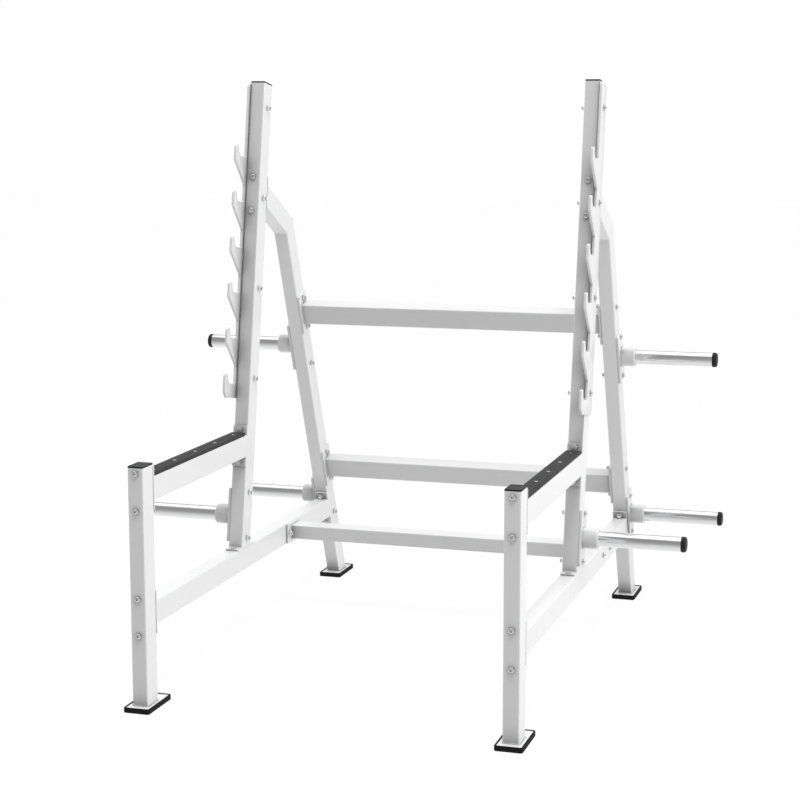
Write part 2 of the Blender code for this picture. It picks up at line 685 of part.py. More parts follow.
def through_bolt(grip):
    """Dome-headed bolt with its nut; the head seats at z = 0 and the nut at z = grip."""
    head = circle(BOLT_HEAD_DIAMETER / 2, BOLT_SIDES)
    crown = circle(BOLT_HEAD_DIAMETER * 0.3, BOLT_SIDES)
    shank = circle(BOLT_DIAMETER / 2, BOLT_SIDES)
    nut = hexagon(NUT_WIDTH, BOLT_SIDES)
    return skin([raised(crown, -BOLT_HEAD_HEIGHT), raised(head, -BOLT_HEAD_HEIGHT / 4),
                 raised(head, 0.0), raised(shank, 0.0), raised(shank, grip), raised(nut, grip),
                 raised(nut, grip + NUT_HEIGHT)])


def cross_member():
    """Tube between the side frames with a flange at each end; Z runs across the rack, Y is its depth."""
    outer = rounded_rectangle(TUBE_WIDTH, TUBE_DEPTH, TUBE_CORNER)
    inner = rounded_rectangle(
        TUBE_WIDTH - 2 * TUBE_WALL, TUBE_DEPTH - 2 * TUBE_WALL, TUBE_CORNER - TUBE_WALL)
    face = FRAME_SPACING / 2 - HALF_WIDTH - GAP
    end = face - FLANGE_THICKNESS + WELD
    bar = skin([raised(outer, -end), raised(outer, end), raised(inner, end), raised(inner, -end)],
               closed=True)
    outline = rounded_rectangle(
        TUBE_DEPTH, 2 * CROSS_HALF_LENGTH, FLANGE_CORNER, PLATE_CORNER_STEPS)
    bar = welded(bar, slab(outline, -face, -face + FLANGE_THICKNESS),
                 slab(outline, face - FLANGE_THICKNESS, face))
    holes = []
    for side in (-1, 1):
        low = side * (face - FLANGE_THICKNESS / 2) - FLANGE_THICKNESS
        high = low + 2 * FLANGE_THICKNESS
        for reach in (CROSS_HALF_PITCH, -CROSS_HALF_PITCH):
            holes.append(moved(bolt_hole(low, high), Matrix.Translation((0.0, reach, 0.0))))
        holes.append(rod(VENT_DIAMETER, low, high))
    return drilled(bar, holes)


# Scene

def clear_scene():
    """Remove whatever the file holds."""
    for thing in list(bpy.data.objects):
        bpy.data.objects.remove(thing)


def finish_material(name):
    """Principled material of a named finish."""
    colour, roughness, metallic = FINISHES[name]
    material = bpy.data.materials.new(name)
    material.use_nodes = True
    shader = material.node_tree.nodes["Principled BSDF"]
    shader.inputs["Base Color"].default_value = (*colour, 1.0)
    shader.inputs["Roughness"].default_value = roughness
    shader.inputs["Metallic"].default_value = metallic
    material.diffuse_color = (*colour, 1.0)
    return material


def finished_mesh(name, solid, material):
    """Mesh of a solid, smooth on its round faces."""
    bmesh.ops.recalc_face_normals(solid, faces=solid.faces)
    mesh = bpy.data.meshes.new(name)
    solid.to_mesh(mesh)
    solid.free()
    mesh.materials.append(material)
    mesh.shade_smooth()
    mesh.set_sharp_from_angle(angle=math.radians(35))
    return mesh


def place(name, mesh, parent, matrix=None):
    """Named object with its own place in the rack."""
    piece = bpy.data.objects.new(name, mesh)
    bpy.context.scene.collection.objects.link(piece)
    piece.parent = parent
    if matrix is not None:
        piece.matrix_basis = matrix
    return piece


def anchor(name, x):
    """Empty that carries the pieces of one side, or the pieces in the middle."""
    empty = bpy.data.objects.new(name, None)
    empty.location = (x, -MIDDLE_Y, 0.0)
    bpy.context.scene.collection.objects.link(empty)
    return empty


def side_frame_meshes(finishes):
    """Meshes that both side frames share, by piece name."""
    white = finishes["white_powder_coat"]
    solids = {
        "front_post": (front_post(), white),
        "front_post_cap": (tube_cap(), finishes["black_plastic"]),
        "foot_pad": (foot_pad(), finishes["black_rubber"]),
        "safety_rail": (safety_rail(), white),
        "safety_rail_wear_strip": (wear_strip(), finishes["wear_plastic"]),
        "lower_side_rail": (lower_rail(), white),
        "upright": (upright(), white),
        "hook_plate": (hook_plate(), white),
        "rear_brace": (rear_brace(), white),
        "horn_bracket": (horn_bracket(), white),
        "horn_sleeve": (horn_sleeve(), finishes["chrome"]),
        "horn_cap": (horn_cap(), finishes["black_plastic"]),
        "hook_plate_bolt": (through_bolt(TUBE_WIDTH + HOOK_PLATE_THICKNESS + 3 * GAP),
                            finishes["zinc_steel"]),
        "flange_bolt": (through_bolt(TUBE_DEPTH + FLANGE_THICKNESS + 3 * GAP), finishes["zinc_steel"]),
    }
    return {name: finished_mesh(name, solid, finish) for name, (solid, finish) in solids.items()}


def build_side(word, side, meshes):
    """One side frame; side is -1 on the left and +1 on the right."""
    frame = anchor(word + "_side_frame", side * FRAME_SPACING / 2)
    for name in ("front_post", "safety_rail", "safety_rail_wear_strip", "lower_side_rail", "upright",
                 "rear_brace"):
        place(word + "_" + name, meshes[name], frame)
    place(word + "_front_foot_pad", meshes["foot_pad"], frame,
          Matrix.Translation((0.0, FRONT_FOOT_Y, 0.0)))
    place(word + "_rear_foot_pad", meshes["foot_pad"], frame,
          Matrix.Translation((0.0, REAR_FOOT_Y, 0.0)))
    place(word + "_front_post_cap", meshes["front_post_cap"], frame,
          facing_frame(Vector((0.0, POST_STEEL_TOP)), UP))
    place(word + "_upright_cap", meshes["front_post_cap"], frame,
          facing_frame(on_upright(UPRIGHT_STEEL_TOP), UPRIGHT_UP))
    plate_x = side * (HALF_WIDTH + GAP + HOOK_PLATE_THICKNESS / 2)
    place(word + "_hook_plate", meshes["hook_plate"], frame,
          outward_frame(UPRIGHT_FOOT, UPRIGHT_UP, 1, plate_x))
    horns = {
        "front": (on_upright(UPRIGHT_HORN_ABOVE_FOOT), UPRIGHT_UP),
        "upper": (on_brace(HORN_UP_BRACE[0]), BRACE_UP),
        "lower": (on_brace(HORN_UP_BRACE[1]), BRACE_UP),
    }
    for position, (point, up) in horns.items():
        seat = outward_frame(point, up, side, side * HALF_WIDTH)
        for piece in ("bracket", "sleeve", "cap"):
            place(word + "_" + position + "_horn_" + piece, meshes["horn_" + piece], frame, seat)
    build_side_bolts(word, side, meshes, frame)


def build_side_bolts(word, side, meshes, frame):
    """The bolts of one side frame that carry the most load."""
    head_x = side * (HALF_WIDTH + HOOK_PLATE_THICKNESS + 2 * GAP)
    for number, along in enumerate(HOOK_BOLTS, start=1):
        place(word + "_hook_plate_bolt_" + str(number), meshes["hook_plate_bolt"], frame,
              outward_frame(on_upright(along), UPRIGHT_UP, -side, head_x))
    for name, joint in (("brace_joint_bolt", BRACE_TOP_JOINT), ("safety_rail_bolt", SAFETY_FRONT_JOINT)):
        for number, point in enumerate(joint_bolts(joint), start=1):
            head = point - (TUBE_DEPTH + 2 * GAP) * joint.facing
            place(word + "_" + name + "_" + str(number), meshes["flange_bolt"], frame,
                  facing_frame(head, joint.facing))


def build_cross_members(finishes):
    """The three members that tie the side frames together."""
    frame = anchor("cross_frame", 0.0)
    mesh = finished_mesh("cross_member", cross_member(), finishes["white_powder_coat"])
    place("upper_cross_member", mesh, frame,
          outward_frame(on_brace(UPPER_CROSS_UP_BRACE), BRACE_UP, 1, 0.0))
    place("middle_cross_member", mesh, frame,
          outward_frame(on_brace(MIDDLE_CROSS_UP_BRACE), BRACE_UP, 1, 0.0))
    place("lower_cross_member", mesh, frame, outward_frame(LOWER_CROSS, LEVEL, 1, 0.0))


def build():
    """The whole rack."""
    clear_scene()
    finishes = {name: finish_material(name) for name in FINISHES}
    meshes = side_frame_meshes(finishes)
    build_side("left", -1, meshes)
    build_side("right", 1, meshes)
    build_cross_members(finishes)


build()
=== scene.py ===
"""Looks of the squat rack: finishes, fasteners, welds, horns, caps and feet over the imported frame.

Everything is in the CAD frame, in metres: +X to the right, +Y to the back, +Z up. A point in a side
frame's plane is a (y, z) vector.
"""
import math
from collections import namedtuple

import bmesh
import bpy
from mathutils import Matrix, Vector, noise


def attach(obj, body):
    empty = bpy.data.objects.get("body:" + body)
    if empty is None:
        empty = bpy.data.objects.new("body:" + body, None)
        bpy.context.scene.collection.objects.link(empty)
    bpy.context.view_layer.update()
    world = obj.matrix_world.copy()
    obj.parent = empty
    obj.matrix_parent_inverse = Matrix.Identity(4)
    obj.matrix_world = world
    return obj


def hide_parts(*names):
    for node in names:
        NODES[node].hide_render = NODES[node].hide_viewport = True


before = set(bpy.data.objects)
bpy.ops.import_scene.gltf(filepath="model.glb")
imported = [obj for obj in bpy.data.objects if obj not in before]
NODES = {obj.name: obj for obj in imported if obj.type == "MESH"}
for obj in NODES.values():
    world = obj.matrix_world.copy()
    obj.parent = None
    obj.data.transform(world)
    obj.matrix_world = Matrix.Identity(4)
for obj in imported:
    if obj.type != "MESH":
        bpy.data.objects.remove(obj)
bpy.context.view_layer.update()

SIDES = {"left": -1, "right": 1}

# Stance, as in the CAD
GAP = 0.0003
HEIGHT = 1.905
FRAME_X = 1.160 / 2
POST_Y = -0.8924
UPRIGHT_SETBACK = 0.7702
UPRIGHT_LEAN = math.radians(9.46)
POST_HEIGHT = 0.757
LOWER_RAIL_HEIGHT = 0.292
FOOT_Y = 0.878

# Tube and flanges, as in the CAD
TUBE_WIDTH = 0.050
TUBE_DEPTH = 0.075
TUBE_WALL = 0.003
TUBE_CORNER = 0.004
HALF_WIDTH = TUBE_WIDTH / 2
HALF_DEPTH = TUBE_DEPTH / 2
FLANGE_THICKNESS = 0.006
FLANGE_HALF_PITCH = HALF_DEPTH + 0.020
FLANGE_HALF_LENGTH = FLANGE_HALF_PITCH + 0.0125
RAIL_FLANGE_BELOW_TOP = 0.004
CAP_THICKNESS = 0.005
FOOT_PLATE_TOP = 0.0143
STRIP_THICKNESS = 0.010

# Rear brace, cross members and horns, as in the CAD
BEND_ARM_LENGTH = 0.2417
BEND_ARM_SLOPE = math.radians(28.1)
BRACE_JOINT_ABOVE_BOLT = 0.012
CROSS_UP_BRACE = {"upper": 1.1445, "middle": 0.4865}
LOWER_CROSS_BEHIND_MIDDLE = 0.030
HORN_PLATE_THICKNESS = 0.008
HORN_PLATE_END = 0.013
HORN_COLLAR_RADIUS = 0.0335
HORN_COLLAR_REACH = 0.060
HORN_BOLT_BEYOND_COLLAR = 0.0445
HORN_HALF_PITCH = HORN_COLLAR_RADIUS + HORN_BOLT_BEYOND_COLLAR
HORN_LENGTH = 0.343
HORN_SLEEVE_RADIUS = 0.0247
HORN_CAP_LENGTH = 0.016
HORN_CAP_EDGE = 0.008
UPRIGHT_HORN_ABOVE_FOOT = 0.1036

# Hook plate, as in the CAD
HOOK_COUNT = 6
HOOK_PITCH = 0.1544
TOP_HOOK_BELOW_TOP = 0.2313
HOOK_PLATE_THICKNESS = 0.008
HOOK_PLATE_PROUD = 0.009
HOOK_PLATE_REAR_MARGIN = 0.006
HOOK_PLATE_BELOW_TOP = 0.008
HOOK_PLATE_TOP_CHAMFER = 0.010
HOOK_PLATE_TAIL = 0.080
HOOK_TAIL_CHAMFER = 0.018
HOOK_SEAT_LENGTH = 0.0482
HOOK_SEAT_CORNER = 0.009
HOOK_SEAT_BELOW_TIP = 0.0315
HOOK_LIP_RUN = 0.0195
HOOK_LIP_THICKNESS = 0.0225
HOOK_CROWN_CORNER = HOOK_LIP_THICKNESS / 5
HOOK_NOSE_CORNER = 0.010
HOOK_NOSE_BELOW_TIP = 0.050
HOOK_ROOT_BELOW_TIP = 0.1235
HOOK_BOLT_BELOW_TIP = 0.010

# Smoothness and edges of the hook plate
HOOK_CORNER_STEPS = 8
HOOK_LIP_STEPS = 14
HOOK_CROWN_STEPS = 6
HOOK_PLATE_EDGE = 0.0006
HOOK_EDGE_STEPS = 2

# Bolts
WASHER_RADIUS = 0.0103
WASHER_THICKNESS = 0.0016
WASHER_EDGE = 0.0003
HEAD_RADIUS = 0.0088
HEAD_HEIGHT = 0.0054
HEAD_FLAT_RADIUS = HEAD_RADIUS * 0.62
HEAD_RIM_HEIGHT = HEAD_HEIGHT * 0.22
HEAD_FOOT_EDGE = 0.0004
HEAD_STEPS = 8
SOCKET_WIDTH = 0.0070
SOCKET_DEPTH = 0.0036
SOCKET_MOUTH_SPREAD = 0.0006
SOCKET_MOUTH_DEPTH = 0.0002
SHANK_RADIUS = 0.0058
BORE_RADIUS = SHANK_RADIUS + GAP
NUT_WIDTH = 0.0165
NUT_HEIGHT = 0.0085
NUT_FLAT_RADIUS = NUT_WIDTH / 2
NUT_CORNER_RADIUS = NUT_FLAT_RADIUS / math.cos(math.pi / 6)
NUT_END_RADIUS = NUT_FLAT_RADIUS * 0.99
NUT_FOOT_CHAMFER = 0.0008
NUT_END_CHAMFER = 0.0012
NUT_RING_RADIUS = NUT_FLAT_RADIUS * 0.86
NUT_RING_HEIGHT = 0.0015
NUT_RING_SIDE = NUT_RING_HEIGHT * 0.6
NUT_RING_CHAMFER = 0.0008
THREAD_PITCH = 0.0015
THREAD_DEPTH = 0.0006
THREAD_TURNS = 2
FASTENER_SIDES = 36
BOLT_GRIPS = {
    "flange": TUBE_DEPTH + FLANGE_THICKNESS + 3 * GAP,
    "foot": FLANGE_THICKNESS + TUBE_WALL + 2 * GAP,
    "hook": TUBE_WIDTH + HOOK_PLATE_THICKNESS + 3 * GAP,
    "horn": TUBE_WIDTH + HORN_PLATE_THICKNESS + 3 * GAP,
    "shared": TUBE_WIDTH + HORN_PLATE_THICKNESS + FLANGE_THICKNESS + 4 * GAP,
    "cross": TUBE_WIDTH + FLANGE_THICKNESS + 3 * GAP,
}

# Strip screws
SCREW_COUNT = 5
SCREW_INSET = 0.046
SCREW_HEAD_RADIUS = 0.0060
SCREW_HEAD_PLAY = 0.0002
SCREW_HEAD_EDGE = 0.0003
SCREW_HEAD_DEPTH = 0.0034
SCREW_SOCKET_WIDTH = 0.0040
SCREW_SOCKET_DEPTH = 0.0022
SCREW_SHANK_RADIUS = 0.0029
SCREW_LENGTH = 0.0140

# Welds
WELD_LEG = 0.0034
WELD_STEP = 0.0016
WELD_SIDES = 7
WELD_RIPPLE = 0.10
WELD_RIPPLE_SCALE = 180.0
WELD_END_STEPS = 3.0
WELD_END_SIZE = 0.15
WELD_CORNER_STEPS = 3
WELD_LEAST_STEPS = 6
SEAM_HALF_WIDTH = 0.0030
SEAM_HEIGHT = 0.0006

# Edges and details of the horns; the dish is a shallow hollow in the head of the cap
HORN_PLATE_CORNER = 0.005
HORN_PLATE_EDGE = 0.0008
HORN_PLATE_EASED = 0.3 * HORN_PLATE_EDGE
HORN_COLLAR_SUNK = 0.001
HORN_COLLAR_EDGE = 0.0055
HORN_COLLAR_EDGE_STEPS = 5
HORN_COLLAR_LAND = 0.001
HORN_BORE_EDGE = 0.0006
HORN_SLEEVE_WALL = 0.003
HORN_SLEEVE_RINGS = 6
HORN_SLEEVE_END = 0.001
HORN_SLEEVE_EDGE = 0.0008
HORN_SLEEVE_EDGE_STEPS = 3
HORN_CAP_PROUD = 0.0005
HORN_CAP_PLUG = 0.015
HORN_CAP_BACK_EDGE = 0.0008
HORN_CAP_EDGE_STEPS = 12
HORN_CAP_RIM = 0.0030
HORN_CAP_STEP = 0.0010
HORN_CAP_DISH_RADII = (0.004, 0.002)
HORN_CAP_DISH_DEPTHS = (0.0005, 0.0007, 0.0009)

# Tube caps
CAP_PLUG_LENGTH = 0.008
CAP_PLUG_TAPER_LENGTH = 0.002
CAP_PLUG_TAPER = 0.0004
CAP_EDGE = 0.0014
CAP_PANEL_INSETS = (0.0040, 0.0048, 0.012)
CAP_PANEL_DEPTH = 0.0005

# Foot pads; the inside of the rim is in (inset, depth) pairs
FOOT_PLATE_BESIDE_TUBE = 0.012
FOOT_PLATE_BEFORE_TUBE = 0.040
PAD_RIM = 0.0055
PAD_RIM_ABOVE_PLATE = 0.0023
PAD_CORNER = 0.008
PAD_FOOT_EDGE = 0.0012
PAD_TOP_EDGE = 0.0020
PAD_RIM_INSIDE = ((0.0040, 0.0), (0.0050, 0.0006), (PAD_RIM, 0.0014))
PAD_FLOOR = 0.009

# Wear strips
STRIP_FRONT_SPACE = 0.0015
STRIP_REAR_SPACE = 0.012
STRIP_CORNER = 0.003
STRIP_FOOT_EDGE = 0.0006
STRIP_TOP_EDGE = 0.0012
STRIP_SHANK_BELOW_TOP = 0.0040
STRIP_HEAD_BELOW_TOP = 0.0006
STRIP_HOLE_BEYOND = 0.002
SCREW_BELOW_STRIP_TOP = 0.0002

# Smoothness of turned and rounded pieces, and the flat kept below a rounded edge
TURNED_SIDES = 72
CORNER_STEPS = 6
EDGE_STEPS = 4
EDGE_LAND = 0.0002
LEAST_CORNER = 0.0006
SMOOTH_ANGLE = math.radians(32)


# Plane geometry of a side frame

def heading(lean):
    """Direction of a member that leans back by an angle from upright."""
    return Vector((math.sin(lean), math.cos(lean)))


def behind(direction):
    """Direction square to a rising member, towards the back of the rack."""
    return Vector((direction.y, -direction.x))


def meet(point, direction, other_point, other_direction):
    """Where two straight lines cross."""
    turn = direction.x * other_direction.y - direction.y * other_direction.x
    apart = other_point - point
    run = (apart.x * other_direction.y - apart.y * other_direction.x) / turn
    return point + run * direction


# A bolted flange: the middle of its mating face, the way it looks and its tube's direction
Joint = namedtuple("Joint", "centre facing tube")


def joint_bolts(joint):
    """The two bolt centres of a flange, on its mating face."""
    along = behind(joint.facing)
    return [joint.centre + FLANGE_HALF_PITCH * along, joint.centre - FLANGE_HALF_PITCH * along]


LEVEL = Vector((1.0, 0.0))
UP = Vector((0.0, 1.0))
OWN_AXIS = Vector((0.0, 0.0, 1.0))

# Upright
UPRIGHT_UP = heading(UPRIGHT_LEAN)
UPRIGHT_BACK = behind(UPRIGHT_UP)
UPRIGHT_FOOT_UNDERSIDE = LOWER_RAIL_HEIGHT + HALF_DEPTH + GAP
UPRIGHT_FOOT = Vector((POST_Y + UPRIGHT_SETBACK, UPRIGHT_FOOT_UNDERSIDE + FLANGE_THICKNESS))
UPRIGHT_TOP = (HEIGHT - UPRIGHT_FOOT.y - HALF_DEPTH * UPRIGHT_UP.x) / UPRIGHT_UP.y
UPRIGHT_STEEL_TOP = UPRIGHT_TOP - CAP_THICKNESS - GAP
UPRIGHT_FOOT_JOINT = Joint(Vector((UPRIGHT_FOOT.x, UPRIGHT_FOOT_UNDERSIDE)), UP, UPRIGHT_UP)


def on_upright(along, back=0.0):
    """Point at a distance up the upright from its foot plate, and behind its centreline."""
    return UPRIGHT_FOOT + along * UPRIGHT_UP + back * UPRIGHT_BACK


HOOK_TIPS = [UPRIGHT_TOP - TOP_HOOK_BELOW_TOP - number * HOOK_PITCH for number in range(HOOK_COUNT)]
HOOK_BOLTS = [HOOK_TIPS[-1] - HOOK_BOLT_BELOW_TIP + 2 * step * HOOK_PITCH
              for step in range(HOOK_COUNT // 2 + 1)]

# Safety rail
POST_STEEL_TOP = POST_HEIGHT - CAP_THICKNESS - GAP
SAFETY_RAIL_HEIGHT = POST_STEEL_TOP - RAIL_FLANGE_BELOW_TOP - FLANGE_HALF_LENGTH
SAFETY_RAIL_TOP = SAFETY_RAIL_HEIGHT + HALF_DEPTH
STRIP_FOOT = SAFETY_RAIL_TOP + GAP
STRIP_TOP = STRIP_FOOT + STRIP_THICKNESS
RAIL_START_Y = POST_Y + HALF_DEPTH + GAP
SAFETY_FRONT_JOINT = Joint(Vector((RAIL_START_Y, SAFETY_RAIL_HEIGHT)), LEVEL, LEVEL)
SAFETY_REAR_JOINT = Joint(
    meet(SAFETY_FRONT_JOINT.centre, LEVEL, on_upright(0.0, -HALF_DEPTH - GAP), UPRIGHT_UP),
    -UPRIGHT_BACK, LEVEL)

# Rear brace
BRACE_JOINT_UP = HOOK_BOLTS[-2] + BRACE_JOINT_ABOVE_BOLT
BEND_ARM_DIRECTION = Vector((math.cos(BEND_ARM_SLOPE), -math.sin(BEND_ARM_SLOPE)))
BRACE_TOP_JOINT = Joint(on_upright(BRACE_JOINT_UP, HALF_DEPTH + GAP), UPRIGHT_BACK,
                        BEND_ARM_DIRECTION)
BRACE_ARM_START = BRACE_TOP_JOINT.centre + FLANGE_THICKNESS * UPRIGHT_BACK
BRACE_BEND = BRACE_ARM_START + BEND_ARM_LENGTH * BEND_ARM_DIRECTION
BRACE_FOOT = Vector((FOOT_Y, FOOT_PLATE_TOP))
BRACE_UP = (BRACE_BEND - BRACE_FOOT).normalized()
BRACE_BACK = behind(BRACE_UP)


def on_brace(along, back=0.0):
    """Point at a distance up the brace's leg from its foot plate, and behind its centreline."""
    return BRACE_FOOT + along * BRACE_UP + back * BRACE_BACK


# Lower side rail
LOWER_FRONT_JOINT = Joint(Vector((RAIL_START_Y, LOWER_RAIL_HEIGHT)), LEVEL, LEVEL)
LOWER_REAR_JOINT = Joint(
    meet(LOWER_FRONT_JOINT.centre, LEVEL, on_brace(0.0, -HALF_DEPTH - GAP), BRACE_UP),
    -BRACE_BACK, LEVEL)

# Cross members and horns
CROSS_FACE = FRAME_X - HALF_WIDTH - GAP
LOWER_CROSS = Vector((
    (UPRIGHT_FOOT.x + LOWER_REAR_JOINT.centre.x) / 2 + LOWER_CROSS_BEHIND_MIDDLE,
    LOWER_RAIL_HEIGHT))
CROSS_MEMBERS = {
    "upper": (on_brace(CROSS_UP_BRACE["upper"]), BRACE_UP),
    "middle": (on_brace(CROSS_UP_BRACE["middle"]), BRACE_UP),
    "lower": (LOWER_CROSS, LEVEL),
}
HORN_UP_BRACE = {place: CROSS_UP_BRACE[cross] - FLANGE_HALF_PITCH - HORN_HALF_PITCH
                 for place, cross in (("upper", "upper"), ("lower", "middle"))}
HORNS = {
    "front": (on_upright(UPRIGHT_HORN_ABOVE_FOOT), UPRIGHT_UP),
    "upper": (on_brace(HORN_UP_BRACE["upper"]), BRACE_UP),
    "lower": (on_brace(HORN_UP_BRACE["lower"]), BRACE_UP),
}


# Places as matrices

def facing_frame(point, facing, x=0.0):
    """Frame at a side-plane point: Z along a side-plane direction, X across the rack."""
    return Matrix(((1.0, 0.0, 0.0, x),
                   (0.0, facing.y, facing.x, point.x),
                   (0.0, -facing.x, facing.y, point.y),
                   (0.0, 0.0, 0.0, 1.0)))


def outward_frame(point, up, side, x):
    """Frame at a side-plane point: Z across the rack towards a side, Y along a member."""
    return Matrix(((0.0, 0.0, side, x),
                   (side * up.y, up.x, 0.0, point.x),
                   (-side * up.x, up.y, 0.0, point.y),
                   (0.0, 0.0, 0.0, 1.0)))


def placed(point, x=0.0):
    """Side-plane point as a place in the rack."""
    return Vector((x, point.x, point.y))


# Meshes

def arc(centre, across, high, start, stop, steps):
    """Points on an elliptical arc between two angles in degrees."""
    points = []
    for step in range(steps + 1):
        angle = math.radians(start + (stop - start) * step / steps)
        points.append(centre + Vector((across * math.cos(angle), high * math.sin(angle))))
    return points


def rounded_rectangle(width, depth, corner, steps=CORNER_STEPS):
    """Rectangle about the origin with round corners."""
    points = []
    for turn, (across, deep) in enumerate(((1, 1), (-1, 1), (-1, -1), (1, -1))):
        centre = Vector((across * (width / 2 - corner), deep * (depth / 2 - corner)))
        points += arc(centre, corner, corner, 90 * turn, 90 * turn + 90, steps)
    return points


def circle(radius, sides=TURNED_SIDES):
    """Points on a circle."""
    return [Vector((radius * math.cos(math.tau * side / sides),
                    radius * math.sin(math.tau * side / sides))) for side in range(sides)]


def hexagon(width, limit):
    """Hexagon of a width across flats whose corners are turned down to a radius."""
    points = []
    for direction in circle(1.0, FASTENER_SIDES):
        angle = math.atan2(direction.y, direction.x) % (math.pi / 3) - math.pi / 6
        points.append(direction * min(width / 2 / math.cos(angle), limit))
    return points


def raised(outline, height):
    """A plane outline at a height."""
    return [Vector((point.x, point.y, height)) for point in outline]


def skin(solid, rows, closed=False):
    """Add a surface through a row of loops: capped at both ends, or joined end to end."""
    rows = [[solid.verts.new(point) for point in row] for row in rows]
    pairs = list(zip(rows, rows[1:]))
    if closed:
        pairs.append((rows[-1], rows[0]))
    else:
        solid.faces.new(rows[0])
        solid.faces.new(rows[-1])
    for row, following in pairs:
        for index in range(len(row)):
            after = (index + 1) % len(row)
            solid.faces.new((row[index], row[after], following[after], following[index]))


def turned(profile, sides=TURNED_SIDES):
    """Rows of a turned form, from its (radius, height) profile."""
    return [raised(circle(radius, sides), height) for radius, height in profile]


def quarter(radius, height, edge, steps=EDGE_STEPS):
    """Profile of a rounded edge on a turned form, from its side to its end face."""
    points = []
    for step in range(steps + 1):
        angle = math.pi / 2 * step / steps
        points.append((radius - edge * (1 - math.cos(angle)),
                       height - edge * (1 - math.sin(angle))))
    return points


def stacked(width, depth, corner, levels):
    """Rows of rounded rectangles, from (inset, height) pairs."""
    return [raised(rounded_rectangle(width - 2 * inset, depth - 2 * inset,
                                     max(LEAST_CORNER, corner - inset)), height)
            for inset, height in levels]


def rounded_levels(edge, height):
    """(inset, height) pairs from a side up round the edge of its end face."""
    return [(0.0, height - edge - EDGE_LAND)] + [
        (-across, level) for across, level in quarter(0.0, height, edge)[1:]]


def finished_mesh(name, solid, *materials):
    """Mesh with outward faces, smooth where it is round."""
    bmesh.ops.recalc_face_normals(solid, faces=solid.faces)
    mesh = bpy.data.meshes.new(name)
    solid.to_mesh(mesh)
    solid.free()
    for material in materials:
        mesh.materials.append(material)
    mesh.shade_smooth()
    mesh.set_sharp_from_angle(angle=SMOOTH_ANGLE)
    return mesh


def use_second_material(solid, start):
    """Give the faces from an index on the second material of their mesh."""
    solid.faces.ensure_lookup_table()
    for face in solid.faces[start:]:
        face.material_index = 1


def piece(name, mesh, matrix, replaced=()):
    """Object that rides on the rack and stands for the CAD nodes it replaces."""
    made = bpy.data.objects.new(name, mesh)
    bpy.context.scene.collection.objects.link(made)
    made.matrix_world = matrix
    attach(made, "root")
    if replaced:
        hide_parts(*replaced)


# Materials

NOISE_SPREAD = (0.3, 0.7)
TONE_DETAIL = 3.0
GLOSS_DETAIL = 4.0
GRAIN_DETAIL = 2.0


def add(tree, kind, sockets, **settings):
    """Node with its settings, and each named socket set to a value or fed by another socket."""
    made = tree.nodes.new(kind)
    for key, value in settings.items():
        setattr(made, key, value)
    for name, value in sockets.items():
        if isinstance(value, bpy.types.NodeSocket):
            tree.links.new(value, made.inputs[name])
        else:
            made.inputs[name].default_value = value
    return made


def mapped(tree, value, start, stop, low=0.0, high=1.0, **settings):
    """A value between two limits, carried over to lie between two others."""
    return add(tree, "ShaderNodeMapRange",
               {"Value": value, "From Min": start, "From Max": stop, "To Min": low, "To Max": high},
               **settings).outputs["Result"]


def noise_between(tree, place, scale, detail, low, high):
    """Noise spread between two values."""
    grain = add(tree, "ShaderNodeTexNoise", {"Vector": place, "Scale": scale, "Detail": detail})
    return mapped(tree, grain.outputs["Fac"], *NOISE_SPREAD, low, high)


def mixed_colour(tree, factor, first, second, **settings):
    """Colour between two others, each a colour or a socket."""
    mix = add(tree, "ShaderNodeMix", {"Factor": factor, 6: first, 7: second}, data_type="RGBA",
              **settings)
    return mix.outputs[2]


def set_ramp(ramp, stops):
    """Grey levels of a colour ramp, as (position, level) pairs."""
    keys = ramp.elements
    keys.remove(keys[1])
    for number, (position, level) in enumerate(stops):
        key = keys.new(position) if number else keys[0]
        key.position = position
        key.color = (level, level, level, 1.0)


# Painted shade in corners, from an occlusion node multiplied into the base colour: its reach, and
# the grey by how open a spot is, from 0 to 1
FRAME_PAINTED_SHADE = (0.11, ((0.0, 0.15), (0.35, 0.29), (0.5, 0.45), (0.75, 0.70), (0.95, 1.0)))
INNER_PAINTED_SHADE = (0.20, ((0.0, 0.18), (0.5, 0.36), (0.7, 0.58), (0.82, 0.77), (0.95, 0.87)))
# Painted shade in bolt sockets and under their heads
SOCKET_PAINTED_SHADE = (0.004, ((0.0, 0.10), (0.35, 0.35), (0.8, 1.0)))

# The faces that take the painted shade, by the y of their normal: where it begins and where it is
# full
SHADE_ON_FRONT_FACES = (-0.4, -0.8)
SHADE_ON_ALL_FACES = (2.0, 1.1)


